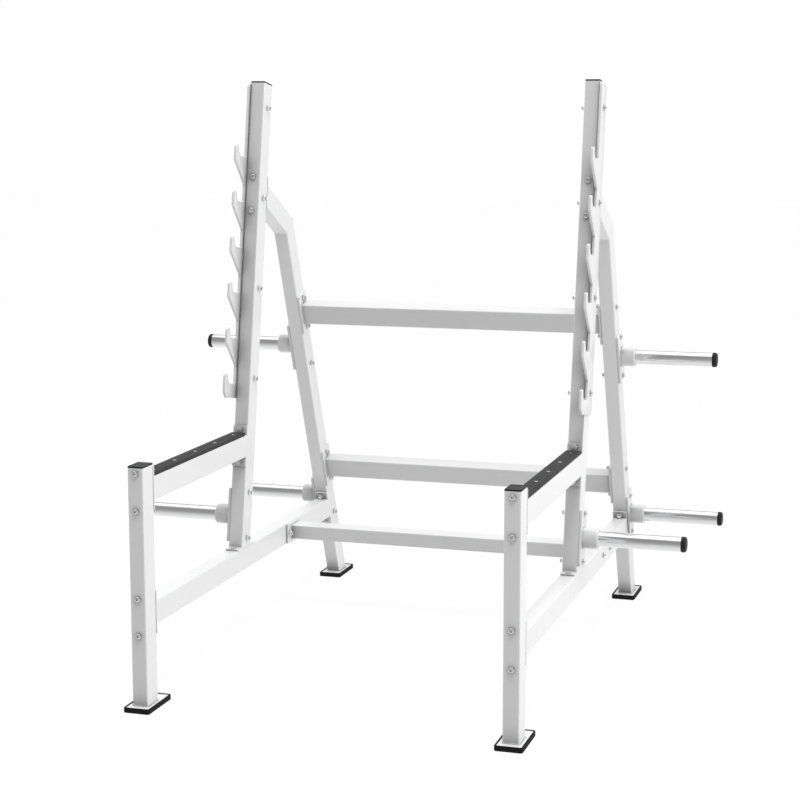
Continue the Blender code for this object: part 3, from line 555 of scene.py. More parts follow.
def surface(name, tones, tone_scale, roughness, rough_scale, grain_scale, grain_depth,
            stretch=(1.0, 1.0, 1.0), corners=None, faces=SHADE_ON_FRONT_FACES, **sockets):
    """Principled material with mottled colour, uneven gloss, a fine relief and painted shade
    darkening its corners.
    """
    material = bpy.data.materials.new(name)
    material.use_nodes = True
    tree = material.node_tree
    shader = tree.nodes["Principled BSDF"]
    for key, value in sockets.items():
        shader.inputs[key.replace("_", " ")].default_value = value
    place = add(tree, "ShaderNodeTexCoord", {}).outputs["Object"]
    mottle = noise_between(tree, place, tone_scale, TONE_DETAIL, 0.0, 1.0)
    tone = mixed_colour(tree, mottle, (*tones[0], 1.0), (*tones[1], 1.0))
    if corners:
        reach, stops = corners
        # Openness from the occlusion node, through a ramp, multiplies the base colour on the chosen
        # faces: painted shade in corners and crevices
        open_share = add(tree, "ShaderNodeAmbientOcclusion", {"Distance": reach}, samples=8)
        depth = add(tree, "ShaderNodeValToRGB", {"Fac": open_share.outputs["AO"]})
        set_ramp(depth.color_ramp, stops)
        normal = add(tree, "ShaderNodeNewGeometry", {}).outputs["Normal"]
        back = add(tree, "ShaderNodeSeparateXYZ", {"Vector": normal}).outputs["Y"]
        tone = mixed_colour(tree, mapped(tree, back, *faces), tone, depth.outputs["Color"],
                            blend_type="MULTIPLY")
    tree.links.new(tone, shader.inputs["Base Color"])
    gloss = noise_between(tree, place, rough_scale, GLOSS_DETAIL, *roughness)
    tree.links.new(gloss, shader.inputs["Roughness"])
    drawn = add(tree, "ShaderNodeMapping", {"Vector": place, "Scale": stretch}).outputs["Vector"]
    grain = add(tree, "ShaderNodeTexNoise",
                {"Vector": drawn, "Scale": grain_scale, "Detail": GRAIN_DETAIL})
    relief = add(tree, "ShaderNodeBump",
                 {"Height": grain.outputs["Fac"], "Distance": grain_depth, "Strength": 1.0})
    tree.links.new(relief.outputs["Normal"], shader.inputs["Normal"])
    return material


# Each surface has two tones and their scale, a lowest and highest roughness and its scale, and the
# scale and depth of its grain
PAINT_TONES = ((0.862, 0.862, 0.868), (0.874, 0.874, 0.879))
# The plates' tones are a darker copy of the paint's tones: painted shade
SHADED_PLATE_TONES = ((0.800, 0.800, 0.806), (0.815, 0.815, 0.820))
PAINT_FINISH = (5.0, (0.29, 0.34), 14.0, 320.0, 0.00001)

# Frame paint with painted shade in the corners of its front faces
SHADED_POWDER_COAT = surface("white_powder_coat", PAINT_TONES, *PAINT_FINISH, corners=FRAME_PAINTED_SHADE)
# Hook plate paint: darker tones and corner darkening on all faces, both painted shade
SHADED_PLATE_COAT = surface("white_powder_coat_with_painted_shade_on_plates", SHADED_PLATE_TONES, *PAINT_FINISH,
                     corners=FRAME_PAINTED_SHADE, faces=SHADE_ON_ALL_FACES)
# Paint of the uprights, cross members and horn brackets: painted shade in its corners that also
# darkens open front faces to 0.87
SHADED_INNER_COAT = surface("white_powder_coat_painted_shade_inside_the_frame", PAINT_TONES, *PAINT_FINISH,
                     corners=INNER_PAINTED_SHADE)
# Weld paint: a darker copy of the powder coat, with corner darkening on all faces, both painted
# shade
SHADED_WELD_PAINT = surface(
    "powder_coat_painted_shade_on_welds", ((0.780, 0.780, 0.787), (0.810, 0.810, 0.816)), 60.0,
    (0.29, 0.39), 90.0, 900.0, 0.00004, corners=FRAME_PAINTED_SHADE, faces=SHADE_ON_ALL_FACES)
CAP_PLASTIC = surface(
    "moulded_black_plastic", ((0.019, 0.019, 0.020), (0.026, 0.026, 0.028)), 40.0,
    (0.46, 0.56), 120.0, 1500.0, 0.00004, Specular_IOR_Level=0.19)
PAD_RUBBER = surface(
    "moulded_black_rubber", ((0.014, 0.014, 0.015), (0.020, 0.020, 0.021)), 50.0,
    (0.66, 0.80), 150.0, 1300.0, 0.00006, Specular_IOR_Level=0.08)
STRIP_PLASTIC = surface(
    "wear_strip_plastic", ((0.040, 0.040, 0.042), (0.050, 0.050, 0.052)), 45.0,
    (0.62, 0.74), 110.0, 1100.0, 0.00006, Specular_IOR_Level=0.18)
CHROME = surface(
    "polished_chrome", ((0.84, 0.84, 0.85), (0.88, 0.88, 0.89)), 8.0,
    (0.07, 0.13), 26.0, 420.0, 0.000003, stretch=(5.0, 0.6, 0.6), Metallic=1.0)
# Zinc with painted shade in the bolt sockets and the crevices under the heads
ZINC = surface(
    "bright_zinc_plate", ((0.82, 0.82, 0.83), (0.90, 0.90, 0.91)), 260.0,
    (0.16, 0.26), 300.0, 1600.0, 0.00001, corners=SOCKET_PAINTED_SHADE, faces=SHADE_ON_ALL_FACES, Metallic=1.0)
NUT_RING = surface(
    "nut_locking_ring", ((0.50, 0.51, 0.52), (0.58, 0.59, 0.60)), 200.0,
    (0.40, 0.50), 300.0, 1500.0, 0.00001)

for name in ("front_post", "safety_rail", "lower_side_rail", "rear_brace"):
    for word in SIDES:
        NODES[word + "_" + name].material_slots[0].material = SHADED_POWDER_COAT
for word in SIDES:
    NODES[word + "_upright"].material_slots[0].material = SHADED_INNER_COAT
for name in ("upper", "middle", "lower"):
    NODES[name + "_cross_member"].material_slots[0].material = SHADED_INNER_COAT


# Fasteners, each with its head's seat at z = 0 and its nut's seat at the grip

def dome_head(seat):
    """Rows of a button head, from the floor of its hexagon socket to its seat."""
    mouth = seat - HEAD_HEIGHT
    socket = hexagon(SOCKET_WIDTH, SOCKET_WIDTH)
    rows = [raised(socket, mouth + SOCKET_DEPTH), raised(socket, mouth + SOCKET_MOUTH_DEPTH),
            raised(hexagon(SOCKET_WIDTH + SOCKET_MOUTH_SPREAD, SOCKET_WIDTH), mouth)]
    profile = []
    for step in range(HEAD_STEPS + 1):
        angle = math.pi / 2 * step / HEAD_STEPS
        height = HEAD_RIM_HEIGHT + (HEAD_HEIGHT - HEAD_RIM_HEIGHT) * math.cos(angle)
        profile.append((HEAD_FLAT_RADIUS + (HEAD_RADIUS - HEAD_FLAT_RADIUS) * math.sin(angle),
                        seat - height))
    profile += [(HEAD_RADIUS, seat - HEAD_FOOT_EDGE), (HEAD_RADIUS - HEAD_FOOT_EDGE, seat)]
    return rows + turned(profile, FASTENER_SIDES)


def washer_rows(low, high):
    """Closed ring section of a flat washer."""
    inner = WASHER_RADIUS - WASHER_EDGE
    return turned([(BORE_RADIUS, low), (inner, low), (WASHER_RADIUS, low + WASHER_EDGE),
                   (WASHER_RADIUS, high - WASHER_EDGE), (inner, high), (BORE_RADIUS, high)],
                  FASTENER_SIDES)


def fastener(grip):
    """Button-head bolt, two washers and a locking nut."""
    solid = bmesh.new()
    nut_seat = grip + WASHER_THICKNESS
    nut_end = nut_seat + NUT_HEIGHT
    ring_end = nut_end + NUT_RING_HEIGHT
    shank = [(SHANK_RADIUS, -WASHER_THICKNESS), (SHANK_RADIUS, nut_end + NUT_RING_HEIGHT / 2)]
    for turn in range(THREAD_TURNS):
        start = nut_end + NUT_RING_HEIGHT / 2 + turn * THREAD_PITCH
        shank += [(SHANK_RADIUS - THREAD_DEPTH, start + THREAD_PITCH / 2),
                  (SHANK_RADIUS, start + THREAD_PITCH)]
    shank.append((SHANK_RADIUS - 2 * THREAD_DEPTH, ring_end + THREAD_TURNS * THREAD_PITCH))
    skin(solid, dome_head(-WASHER_THICKNESS) + turned(shank, FASTENER_SIDES))
    skin(solid, washer_rows(-WASHER_THICKNESS, 0.0), closed=True)
    skin(solid, washer_rows(grip, nut_seat), closed=True)
    bore = circle(BORE_RADIUS, FASTENER_SIDES)
    skin(solid, [
        raised(bore, nut_seat),
        raised(hexagon(NUT_WIDTH, NUT_FLAT_RADIUS), nut_seat),
        raised(hexagon(NUT_WIDTH, NUT_CORNER_RADIUS), nut_seat + NUT_FOOT_CHAMFER),
        raised(hexagon(NUT_WIDTH, NUT_CORNER_RADIUS), nut_end - NUT_END_CHAMFER),
        raised(hexagon(NUT_WIDTH, NUT_END_RADIUS), nut_end),
        raised(bore, nut_end),
    ], closed=True)
    ring_start = len(solid.faces)
    skin(solid, turned([(BORE_RADIUS, nut_end), (NUT_RING_RADIUS, nut_end),
                        (NUT_RING_RADIUS, nut_end + NUT_RING_SIDE),
                        (NUT_RING_RADIUS - NUT_RING_CHAMFER, ring_end), (BORE_RADIUS, ring_end)],
                       FASTENER_SIDES), closed=True)
    use_second_material(solid, ring_start)
    return finished_mesh("fastener", solid, ZINC, NUT_RING)


def countersunk_screw():
    """Flat-headed screw with a hexagon socket; its head is flush at z = 0."""
    solid = bmesh.new()
    socket = hexagon(SCREW_SOCKET_WIDTH, SCREW_SOCKET_WIDTH)
    head = SCREW_HEAD_RADIUS - SCREW_HEAD_PLAY
    profile = [(head - SCREW_HEAD_EDGE, 0.0), (head, -SCREW_HEAD_EDGE),
               (SCREW_SHANK_RADIUS, -SCREW_HEAD_DEPTH), (SCREW_SHANK_RADIUS, -SCREW_LENGTH)]
    skin(solid, [raised(socket, -SCREW_SOCKET_DEPTH), raised(socket, 0.0)]
         + turned(profile, FASTENER_SIDES))
    return finished_mesh("countersunk_screw", solid, ZINC)


def build_plane_bolts(bolts, word, middle):
    """Bolts in the plane of one side frame, through the flanges of its tubes."""
    for name, joint, numbered in (
            ("brace_joint_bolt", BRACE_TOP_JOINT, True),
            ("safety_rail_bolt", SAFETY_FRONT_JOINT, True),
            ("lower_rail_front_bolt", LOWER_FRONT_JOINT, False),
            ("safety_rail_rear_bolt", SAFETY_REAR_JOINT, False),
            ("lower_rail_rear_bolt", LOWER_REAR_JOINT, False)):
        for number, point in enumerate(joint_bolts(joint), start=1):
            seat = point - (TUBE_DEPTH + 2 * GAP) * joint.facing
            node = word + "_" + name + "_" + str(number)
            piece(node + "_set", bolts["flange"],
                  facing_frame(seat, joint.facing, middle), (node,) if numbered else ())
    for number, point in enumerate(joint_bolts(UPRIGHT_FOOT_JOINT), start=1):
        seat = point + (FLANGE_THICKNESS + GAP) * UP
        piece(word + "_upright_foot_bolt_" + str(number) + "_set", bolts["foot"],
              facing_frame(seat, -UP, middle))


def build_side_bolts(bolts, word, side):
    """Bolts across one side frame: of its hook plate, its horns and the cross members."""
    tube_x = side * (FRAME_X + HALF_WIDTH + GAP)
    hook_x = tube_x + side * (HOOK_PLATE_THICKNESS + GAP)
    horn_x = tube_x + side * (HORN_PLATE_THICKNESS + GAP)
    for number, along in enumerate(HOOK_BOLTS, start=1):
        node = word + "_hook_plate_bolt_" + str(number)
        piece(node + "_set", bolts["hook"],
              outward_frame(on_upright(along), UPRIGHT_UP, -side, hook_x), (node,))
    for number, reach in enumerate((HORN_HALF_PITCH, -HORN_HALF_PITCH), start=1):
        place = on_upright(UPRIGHT_HORN_ABOVE_FOOT + reach)
        piece(word + "_front_horn_bolt_" + str(number) + "_set", bolts["horn"],
              outward_frame(place, UPRIGHT_UP, -side, horn_x))
    for place, cross in (("upper", "upper"), ("lower", "middle")):
        top = on_brace(CROSS_UP_BRACE[cross] + FLANGE_HALF_PITCH)
        shared = on_brace(CROSS_UP_BRACE[cross] - FLANGE_HALF_PITCH)
        bottom = on_brace(HORN_UP_BRACE[place] - HORN_HALF_PITCH)
        for kind, mesh, point, x in (("cross_member_bolt", bolts["cross"], top, tube_x),
                                     ("shared_bolt", bolts["shared"], shared, horn_x),
                                     ("horn_bolt", bolts["horn"], bottom, horn_x)):
            piece(word + "_" + place + "_" + kind + "_set", mesh,
                  outward_frame(point, BRACE_UP, -side, x))
    for number, reach in enumerate((FLANGE_HALF_PITCH, -FLANGE_HALF_PITCH), start=1):
        piece(word + "_lower_cross_member_bolt_" + str(number) + "_set", bolts["cross"],
              outward_frame(LOWER_CROSS + reach * LEVEL, LEVEL, -side, tube_x))


def build_fasteners():
    """Every bolt of the rack. Heads stand outside and in front; nuts stand behind the flanges."""
    bolts = {kind: fastener(grip) for kind, grip in BOLT_GRIPS.items()}
    for word, side in SIDES.items():
        build_plane_bolts(bolts, word, side * FRAME_X)
        build_side_bolts(bolts, word, side)


# Welds

def resampled(path, closed):
    """The path's points again, at even steps."""
    points = list(path) + ([path[0]] if closed else [])
    spans = [(after - before).length for before, after in zip(points, points[1:])]
    total = sum(spans)
    count = max(WELD_LEAST_STEPS, round(total / WELD_STEP / 2) * 2)
    found = []
    index = 0
    passed = 0.0
    for step in range(count + (0 if closed else 1)):
        target = total * step / count
        while index < len(spans) - 1 and passed + spans[index] < target:
            passed += spans[index]
            index += 1
        share = min(1.0, max(0.0, (target - passed) / spans[index]))
        found.append(points[index].lerp(points[index + 1], share))
    return found


def bead(solid, path, normal, closed=True, along=WELD_LEG, out=WELD_LEG):
    """Rippled weld bead on a path, with its reach along the plane normal and out from the path."""
    points = resampled(path, closed)
    count = len(points)
    rows = []
    for index, point in enumerate(points):
        before = points[index - 1] if closed or index else point
        after = points[(index + 1) % count] if closed or index < count - 1 else point
        outward = (after - before).normalized().cross(normal).normalized()
        size = 1.0 - WELD_RIPPLE * (index % 2)
        size += WELD_RIPPLE * noise.noise(point * WELD_RIPPLE_SCALE)
        if not closed:
            from_end = min(index, count - 1 - index) / WELD_END_STEPS
            size *= max(WELD_END_SIZE, min(1.0, math.sqrt(from_end)))
        row = []
        for side in range(WELD_SIDES):
            angle = math.tau * side / WELD_SIDES
            reach = along * math.cos(angle) * normal + out * math.sin(angle) * outward
            row.append(point + size * reach)
        rows.append(row)
    skin(solid, rows, closed)


def slanted_section(point, direction, cut):
    """The tube's outline where a plane cuts it, as side-plane places across the rack."""
    places = []
    for corner in rounded_rectangle(TUBE_WIDTH, TUBE_DEPTH, TUBE_CORNER, WELD_CORNER_STEPS):
        offset = corner.y * behind(direction)
        spot = point + offset - direction * offset.dot(cut) / direction.dot(cut)
        places.append(placed(spot, corner.x))
    return places


def across_edges(joint):
    """The two straight lines where a tube's narrow faces meet its flange."""
    surface_point = joint.centre + FLANGE_THICKNESS * joint.facing
    reach = HALF_DEPTH / abs(joint.facing.dot(joint.tube))
    along = behind(joint.facing)
    half = HALF_WIDTH - TUBE_CORNER / 2
    return [[placed(surface_point + turn * reach * along, -half),
             placed(surface_point + turn * reach * along, half)] for turn in (-1, 1)]


def flange_welds(solid, joint):
    """Beads across the tube above and below, where the flange stands out."""
    normal = placed(joint.facing)
    for path in across_edges(joint):
        bead(solid, path, normal, closed=False)


def side_weld_mesh():
    """The welds of the tubes in one side frame's plane."""
    solid = bmesh.new()
    for joint in (SAFETY_FRONT_JOINT, SAFETY_REAR_JOINT, LOWER_FRONT_JOINT, LOWER_REAR_JOINT,
                  UPRIGHT_FOOT_JOINT, BRACE_TOP_JOINT):
        flange_welds(solid, joint)
    post_foot = Vector((POST_Y, FOOT_PLATE_TOP))
    for foot, direction in ((post_foot, UP), (BRACE_FOOT, BRACE_UP)):
        bead(solid, slanted_section(foot, direction, UP), placed(UP))
    mitre = (BRACE_UP - BEND_ARM_DIRECTION).normalized()
    bead(solid, slanted_section(BRACE_BEND, BRACE_UP, mitre), placed(mitre),
         along=SEAM_HALF_WIDTH, out=SEAM_HEIGHT)
    return finished_mesh("side_frame_welds", solid, SHADED_WELD_PAINT)


def cross_weld_mesh():
    """The welds at both ends of a cross member; Z runs across the rack, Y is its depth."""
    solid = bmesh.new()
    outline = rounded_rectangle(TUBE_WIDTH, TUBE_DEPTH, TUBE_CORNER, WELD_CORNER_STEPS)
    for side in (-1, 1):
        bead(solid, raised(outline, side * (CROSS_FACE - FLANGE_THICKNESS)), OWN_AXIS)
    return finished_mesh("cross_member_welds", solid, SHADED_WELD_PAINT)


def build_welds():
    """Weld beads under the paint."""
    mesh = side_weld_mesh()
    for word, side in SIDES.items():
        piece(word + "_side_frame_welds", mesh,
              Matrix.Translation((side * FRAME_X, 0.0, 0.0)))
    mesh = cross_weld_mesh()
    for name, (point, up) in CROSS_MEMBERS.items():
        piece(name + "_cross_member_welds", mesh,
              outward_frame(point, up, 1, 0.0))


# Hook plates

def hook_edge(tip, lowest):
    """Front edge of one hook from its seat corner down to the strip, as (back, along) points."""
    strip = -HALF_DEPTH - HOOK_PLATE_PROUD
    seat = tip - HOOK_SEAT_BELOW_TIP
    lip_start = strip - HOOK_SEAT_LENGTH
    lip_top = lip_start - HOOK_LIP_RUN
    nose = lip_top - HOOK_LIP_THICKNESS
    corner = HOOK_SEAT_CORNER
    crown = HOOK_CROWN_CORNER
    points = arc(Vector((strip - corner, seat + corner)), corner, corner, 0, -90,
                 HOOK_CORNER_STEPS)
    points += arc(Vector((lip_start, tip - crown)), HOOK_LIP_RUN, tip - crown - seat, -90, -180,
                  HOOK_LIP_STEPS)
    points += arc(Vector((lip_top - crown, tip - crown)), crown, crown, 0, 90,
                  HOOK_CROWN_STEPS)[1:]
    points += arc(Vector((nose + HOOK_NOSE_CORNER, tip - HOOK_NOSE_CORNER)),
                  HOOK_NOSE_CORNER, HOOK_NOSE_CORNER, 90, 180, HOOK_CORNER_STEPS)
    if lowest:
        points.append(Vector((nose, tip - HOOK_PLATE_TAIL + HOOK_TAIL_CHAMFER)))
        points.append(Vector((nose + HOOK_TAIL_CHAMFER, tip - HOOK_PLATE_TAIL)))
    else:
        points.append(Vector((nose, tip - HOOK_NOSE_BELOW_TIP)))
        points.append(Vector((strip, tip - HOOK_ROOT_BELOW_TIP)))
    return points


def hook_plate_mesh():
    """Laser-cut plate with six bar hooks, its edges softened by the paint."""
    back = HALF_DEPTH - HOOK_PLATE_REAR_MARGIN
    top = UPRIGHT_TOP - HOOK_PLATE_BELOW_TOP
    outline = [Vector((back, top)), Vector((-HALF_DEPTH, top)),
               Vector((-HALF_DEPTH - HOOK_PLATE_PROUD, top - HOOK_PLATE_TOP_CHAMFER))]
    for tip in HOOK_TIPS:
        outline += hook_edge(tip, tip == HOOK_TIPS[-1])
    outline.append(Vector((back, HOOK_TIPS[-1] - HOOK_PLATE_TAIL)))
    solid = bmesh.new()
    half = HOOK_PLATE_THICKNESS / 2
    skin(solid, [raised(outline, -half), raised(outline, half)])
    bmesh.ops.recalc_face_normals(solid, faces=solid.faces)
    rims = [edge for edge in solid.edges if abs(edge.verts[0].co.z - edge.verts[1].co.z) < GAP]
    bmesh.ops.bevel(solid, geom=rims, offset=HOOK_PLATE_EDGE, segments=HOOK_EDGE_STEPS,
                    profile=0.5, affect="EDGES")
    return finished_mesh("hook_plate", solid, SHADED_PLATE_COAT)


def build_hook_plates():
    """A plate on each upright's outer face."""
    mesh = hook_plate_mesh()
    mesh.transform(outward_frame(UPRIGHT_FOOT, UPRIGHT_UP, 1, 0.0))
    for word, side in SIDES.items():
        x = side * (FRAME_X + HALF_WIDTH + GAP + HOOK_PLATE_THICKNESS / 2)
        piece(word + "_hook_plate_cut", mesh,
              Matrix.Translation((x, 0.0, 0.0)), (word + "_hook_plate",))


# Horns, along their own z axis from the face of the tube that carries them

def horn_bracket_mesh():
    """Plate with its welded collar."""
    solid = bmesh.new()
    length = 2 * (HORN_HALF_PITCH + HORN_PLATE_END)
    edge = HORN_PLATE_EDGE
    eased = HORN_PLATE_EASED
    low = GAP
    high = GAP + HORN_PLATE_THICKNESS
    skin(solid, stacked(TUBE_DEPTH, length, HORN_PLATE_CORNER, (
        (edge, low), (0.0, low + edge), (0.0, high - edge), (eased, high - eased), (edge, high))))
    bore = HORN_SLEEVE_RADIUS + GAP
    root = high - HORN_COLLAR_SUNK
    mouth = HORN_COLLAR_REACH
    profile = [(bore, root), (HORN_COLLAR_RADIUS, root),
               (HORN_COLLAR_RADIUS, mouth - HORN_COLLAR_EDGE - HORN_COLLAR_LAND)]
    profile += quarter(HORN_COLLAR_RADIUS, mouth, HORN_COLLAR_EDGE, HORN_COLLAR_EDGE_STEPS)
    profile += [(bore + HORN_BORE_EDGE, mouth), (bore, mouth - HORN_BORE_EDGE)]
    skin(solid, turned(profile), closed=True)
    weld_start = len(solid.faces)
    bead(solid, raised(circle(HORN_COLLAR_RADIUS), high), OWN_AXIS)
    use_second_material(solid, weld_start)
    return finished_mesh("horn_bracket", solid, SHADED_INNER_COAT, SHADED_WELD_PAINT)


def horn_sleeve_mesh():
    """Chromed tube with a rounded outer end."""
    solid = bmesh.new()
    low = 2 * GAP + HORN_PLATE_THICKNESS
    high = HORN_LENGTH - HORN_CAP_LENGTH - GAP
    inner = HORN_SLEEVE_RADIUS - HORN_SLEEVE_WALL
    pitch = (high - HORN_SLEEVE_END - low) / HORN_SLEEVE_RINGS
    profile = [(inner, low)]
    profile += [(HORN_SLEEVE_RADIUS, low + pitch * ring) for ring in range(HORN_SLEEVE_RINGS)]
    profile += quarter(HORN_SLEEVE_RADIUS, high, HORN_SLEEVE_EDGE, HORN_SLEEVE_EDGE_STEPS)
    profile.append((inner, high))
    skin(solid, turned(profile), closed=True)
    return finished_mesh("horn_sleeve", solid, CHROME)


def horn_cap_mesh():
    """Moulded plug with a domed head."""
    solid = bmesh.new()
    radius = HORN_SLEEVE_RADIUS + HORN_CAP_PROUD
    low = HORN_LENGTH - HORN_CAP_LENGTH
    plug = HORN_SLEEVE_RADIUS - HORN_SLEEVE_WALL - GAP
    rim = radius - HORN_CAP_EDGE - HORN_CAP_RIM
    profile = [(plug, low - HORN_CAP_PLUG), (plug, low), (radius - HORN_CAP_BACK_EDGE, low),
               (radius, low + HORN_CAP_BACK_EDGE)]
    profile += quarter(radius, HORN_LENGTH, HORN_CAP_EDGE, HORN_CAP_EDGE_STEPS)
    profile.append((rim, HORN_LENGTH))
    dish = zip((rim - HORN_CAP_STEP, *HORN_CAP_DISH_RADII), HORN_CAP_DISH_DEPTHS)
    profile += [(across, HORN_LENGTH - depth) for across, depth in dish]
    skin(solid, turned(profile))
    return finished_mesh("horn_cap", solid, CAP_PLASTIC)


def build_horns():
    """Three storage horns on each side."""
    meshes = {"bracket": (horn_bracket_mesh(), "white_powder_coat", "weldment"),
              "sleeve": (horn_sleeve_mesh(), "chrome", "tube"),
              "cap": (horn_cap_mesh(), "black_plastic", "plug")}
    for word, side in SIDES.items():
        for place, (point, up) in HORNS.items():
            seat = outward_frame(point, up, side, side * (FRAME_X + HALF_WIDTH))
            for kind, (mesh, slot, form) in meshes.items():
                node = word + "_" + place + "_horn_" + kind
                piece(node + "_" + form, mesh, seat, (node,))


# Caps, pads and wear strips

def tube_cap_mesh():
    """Moulded cap with a soft edge, a shallow panel and a tapered plug; z = 0 is the tube's end."""
    solid = bmesh.new()
    top = GAP + CAP_THICKNESS
    wall = TUBE_WALL + GAP
    rim, step, panel = CAP_PANEL_INSETS
    levels = [(wall + CAP_PLUG_TAPER, -CAP_PLUG_LENGTH),
              (wall, CAP_PLUG_TAPER_LENGTH - CAP_PLUG_LENGTH), (wall, GAP), (0.0, GAP)]
    levels += rounded_levels(CAP_EDGE, top)
    levels += [(rim, top), (step, top - CAP_PANEL_DEPTH), (panel, top - CAP_PANEL_DEPTH)]
    skin(solid, stacked(TUBE_WIDTH, TUBE_DEPTH, TUBE_CORNER, levels))
    return finished_mesh("tube_cap", solid, CAP_PLASTIC)


def foot_pad_mesh():
    """Rubber tray with rounded rims round the foot plate."""
    solid = bmesh.new()
    width = TUBE_WIDTH + 2 * (FOOT_PLATE_BESIDE_TUBE + GAP + PAD_RIM)
    length = TUBE_DEPTH + 2 * (FOOT_PLATE_BEFORE_TUBE + GAP + PAD_RIM)
    rim = FOOT_PLATE_TOP + PAD_RIM_ABOVE_PLATE
    levels = [(PAD_FOOT_EDGE, 0.0), (0.0, PAD_FOOT_EDGE)]
    levels += rounded_levels(PAD_TOP_EDGE, rim)
    levels += [(inset, rim - depth) for inset, depth in PAD_RIM_INSIDE]
    levels.append((PAD_RIM, PAD_FLOOR))
    skin(solid, stacked(width, length, PAD_CORNER, levels))
    return finished_mesh("foot_pad", solid, PAD_RUBBER)


def strip_ends():
    """Front and rear end of the wear strip, as y values."""
    front = RAIL_START_Y + FLANGE_THICKNESS + STRIP_FRONT_SPACE
    flange_front = on_upright(0.0, -HALF_DEPTH - GAP - FLANGE_THICKNESS)
    rear = meet(Vector((0.0, SAFETY_RAIL_TOP)), LEVEL, flange_front, UPRIGHT_UP).x
    return front, rear - STRIP_REAR_SPACE


def strip_screws():
    """The y value of each screw in the wear strip."""
    front, rear = strip_ends()
    first = front + SCREW_INSET
    last = rear - SCREW_INSET
    return [first + (last - first) * number / (SCREW_COUNT - 1) for number in range(SCREW_COUNT)]


def drilled(solid, cutter):
    """A form with another cut out of it."""
    steps = []
    for form in (solid, cutter):
        bmesh.ops.recalc_face_normals(form, faces=form.faces)
        step = bpy.data.objects.new("step", bpy.data.meshes.new("step"))
        form.to_mesh(step.data)
        form.free()
        bpy.context.scene.collection.objects.link(step)
        steps.append(step)
    cut = steps[0].modifiers.new("holes", "BOOLEAN")
    cut.operation = "DIFFERENCE"
    cut.solver = "EXACT"
    cut.object = steps[1]
    result = bmesh.new()
    result.from_mesh(steps[0].evaluated_get(bpy.context.evaluated_depsgraph_get()).to_mesh())
    for step in steps:
        bpy.data.objects.remove(step)
    return result


def wear_strip_mesh():
    """Plastic strip with soft edges and countersunk screw holes."""
    front, rear = strip_ends()
    solid = bmesh.new()
    levels = [(STRIP_FOOT_EDGE, STRIP_FOOT), (0.0, STRIP_FOOT + STRIP_FOOT_EDGE)]
    levels += rounded_levels(STRIP_TOP_EDGE, STRIP_TOP)
    skin(solid, stacked(TUBE_WIDTH, rear - front, STRIP_CORNER, levels))
    solid.transform(Matrix.Translation((0.0, (front + rear) / 2, 0.0)))
    shank = SCREW_SHANK_RADIUS + GAP
    head = SCREW_HEAD_RADIUS + SCREW_HEAD_PLAY
    hole = turned([(shank, STRIP_FOOT - STRIP_HOLE_BEYOND),
                   (shank, STRIP_TOP - STRIP_SHANK_BELOW_TOP),
                   (head, STRIP_TOP - STRIP_HEAD_BELOW_TOP), (head, STRIP_TOP + STRIP_HOLE_BEYOND)],
                  FASTENER_SIDES)
    cutter = bmesh.new()
    for y in strip_screws():
        skin(cutter, [[point + Vector((0.0, y, 0.0)) for point in row] for row in hole])
    return finished_mesh("wear_strip", drilled(solid, cutter), STRIP_PLASTIC)


def build_trim():
    """Tube caps, foot pads, wear strips and their screws."""
    cap = tube_cap_mesh()
    pad = foot_pad_mesh()
    strip = wear_strip_mesh()
    screw = countersunk_screw()
    for word, side in SIDES.items():
        x = side * FRAME_X
        for node, point, up in (
                ("_front_post_cap", Vector((POST_Y, POST_STEEL_TOP)), UP),
                ("_upright_cap", on_upright(UPRIGHT_STEEL_TOP), UPRIGHT_UP)):
            piece(word + node + "_plug", cap, facing_frame(point, up, x),
                  (word + node,))
        for node, y in (("_front_foot_pad", -FOOT_Y), ("_rear_foot_pad", FOOT_Y)):
            piece(word + node + "_tray", pad, Matrix.Translation((x, y, 0.0)),
                  (word + node,))
        node = word + "_safety_rail_wear_strip"
        piece(node + "_bar", strip, Matrix.Translation((x, 0.0, 0.0)), (node,))
        for number, y in enumerate(strip_screws(), start=1):
            piece(word + "_wear_strip_screw_" + str(number), screw,
                  Matrix.Translation((x, y, STRIP_TOP - SCREW_BELOW_STRIP_TOP)))


build_fasteners()
build_welds()
build_hook_plates()
build_horns()
build_trim()


# Stage

# Brightness of the studio by the sine of the elevation: what lights the rack from the front and
# from the other sides, and the grey screen and ceiling lamp that its bright metal mirrors
FRONT_LIGHT = ((-1.0, 0.95), (-0.6, 0.53), (-0.2, 0.225), (0.3, 0.145), (0.55, 0.13), (0.85, 0.40),
               (1.0, 1.12))
ROUND_LIGHT = ((-1.0, 0.95), (-0.5, 1.02), (0.0, 1.08), (0.5, 1.13), (0.85, 1.28), (1.0, 1.12))
FRONT_MIRRORED = ((-1.0, 0.85), (-0.94, 0.83), (-0.81, 0.81), (-0.62, 0.72), (-0.36, 0.58),
                  (-0.13, 0.44), (0.12, 0.35), (0.35, 0.32), (0.64, 0.31), (0.78, 0.36),
                  (0.86, 0.72), (0.92, 1.40), (1.0, 1.50))
ROUND_MIRRORED = ((-1.0, 0.85), (-0.91, 0.96), (-0.16, 1.00), (0.40, 1.06), (0.46, 0.44),
                  (0.68, 0.44), (0.76, 1.10), (0.92, 1.50), (1.0, 1.50))
BRIGHTEST = 2.0

# Where one light passes into the next, by the y of the direction
LIGHT_EDGE = (-0.30, -0.75)
MIRRORED_EDGE = (0.08, -0.25)
DIM_BACK_EDGE = (0.25, 0.85)

# Share that is left of the light from behind the rack
DIM_BACK = 0.40

# Each lamp's place, turn, size, spread in degrees and power
LAMPS = {
    "right_soft_lamp": ((2.4, -0.7, 1.1), (0.0, math.pi / 2, 0.0), 2.0, 110.0, 4.9),
    "top_soft_lamp": ((1.4, -2.9, 8.0), (math.radians(22), math.radians(11), 0.0),
                      1.6, 180.0, 195.0),
}

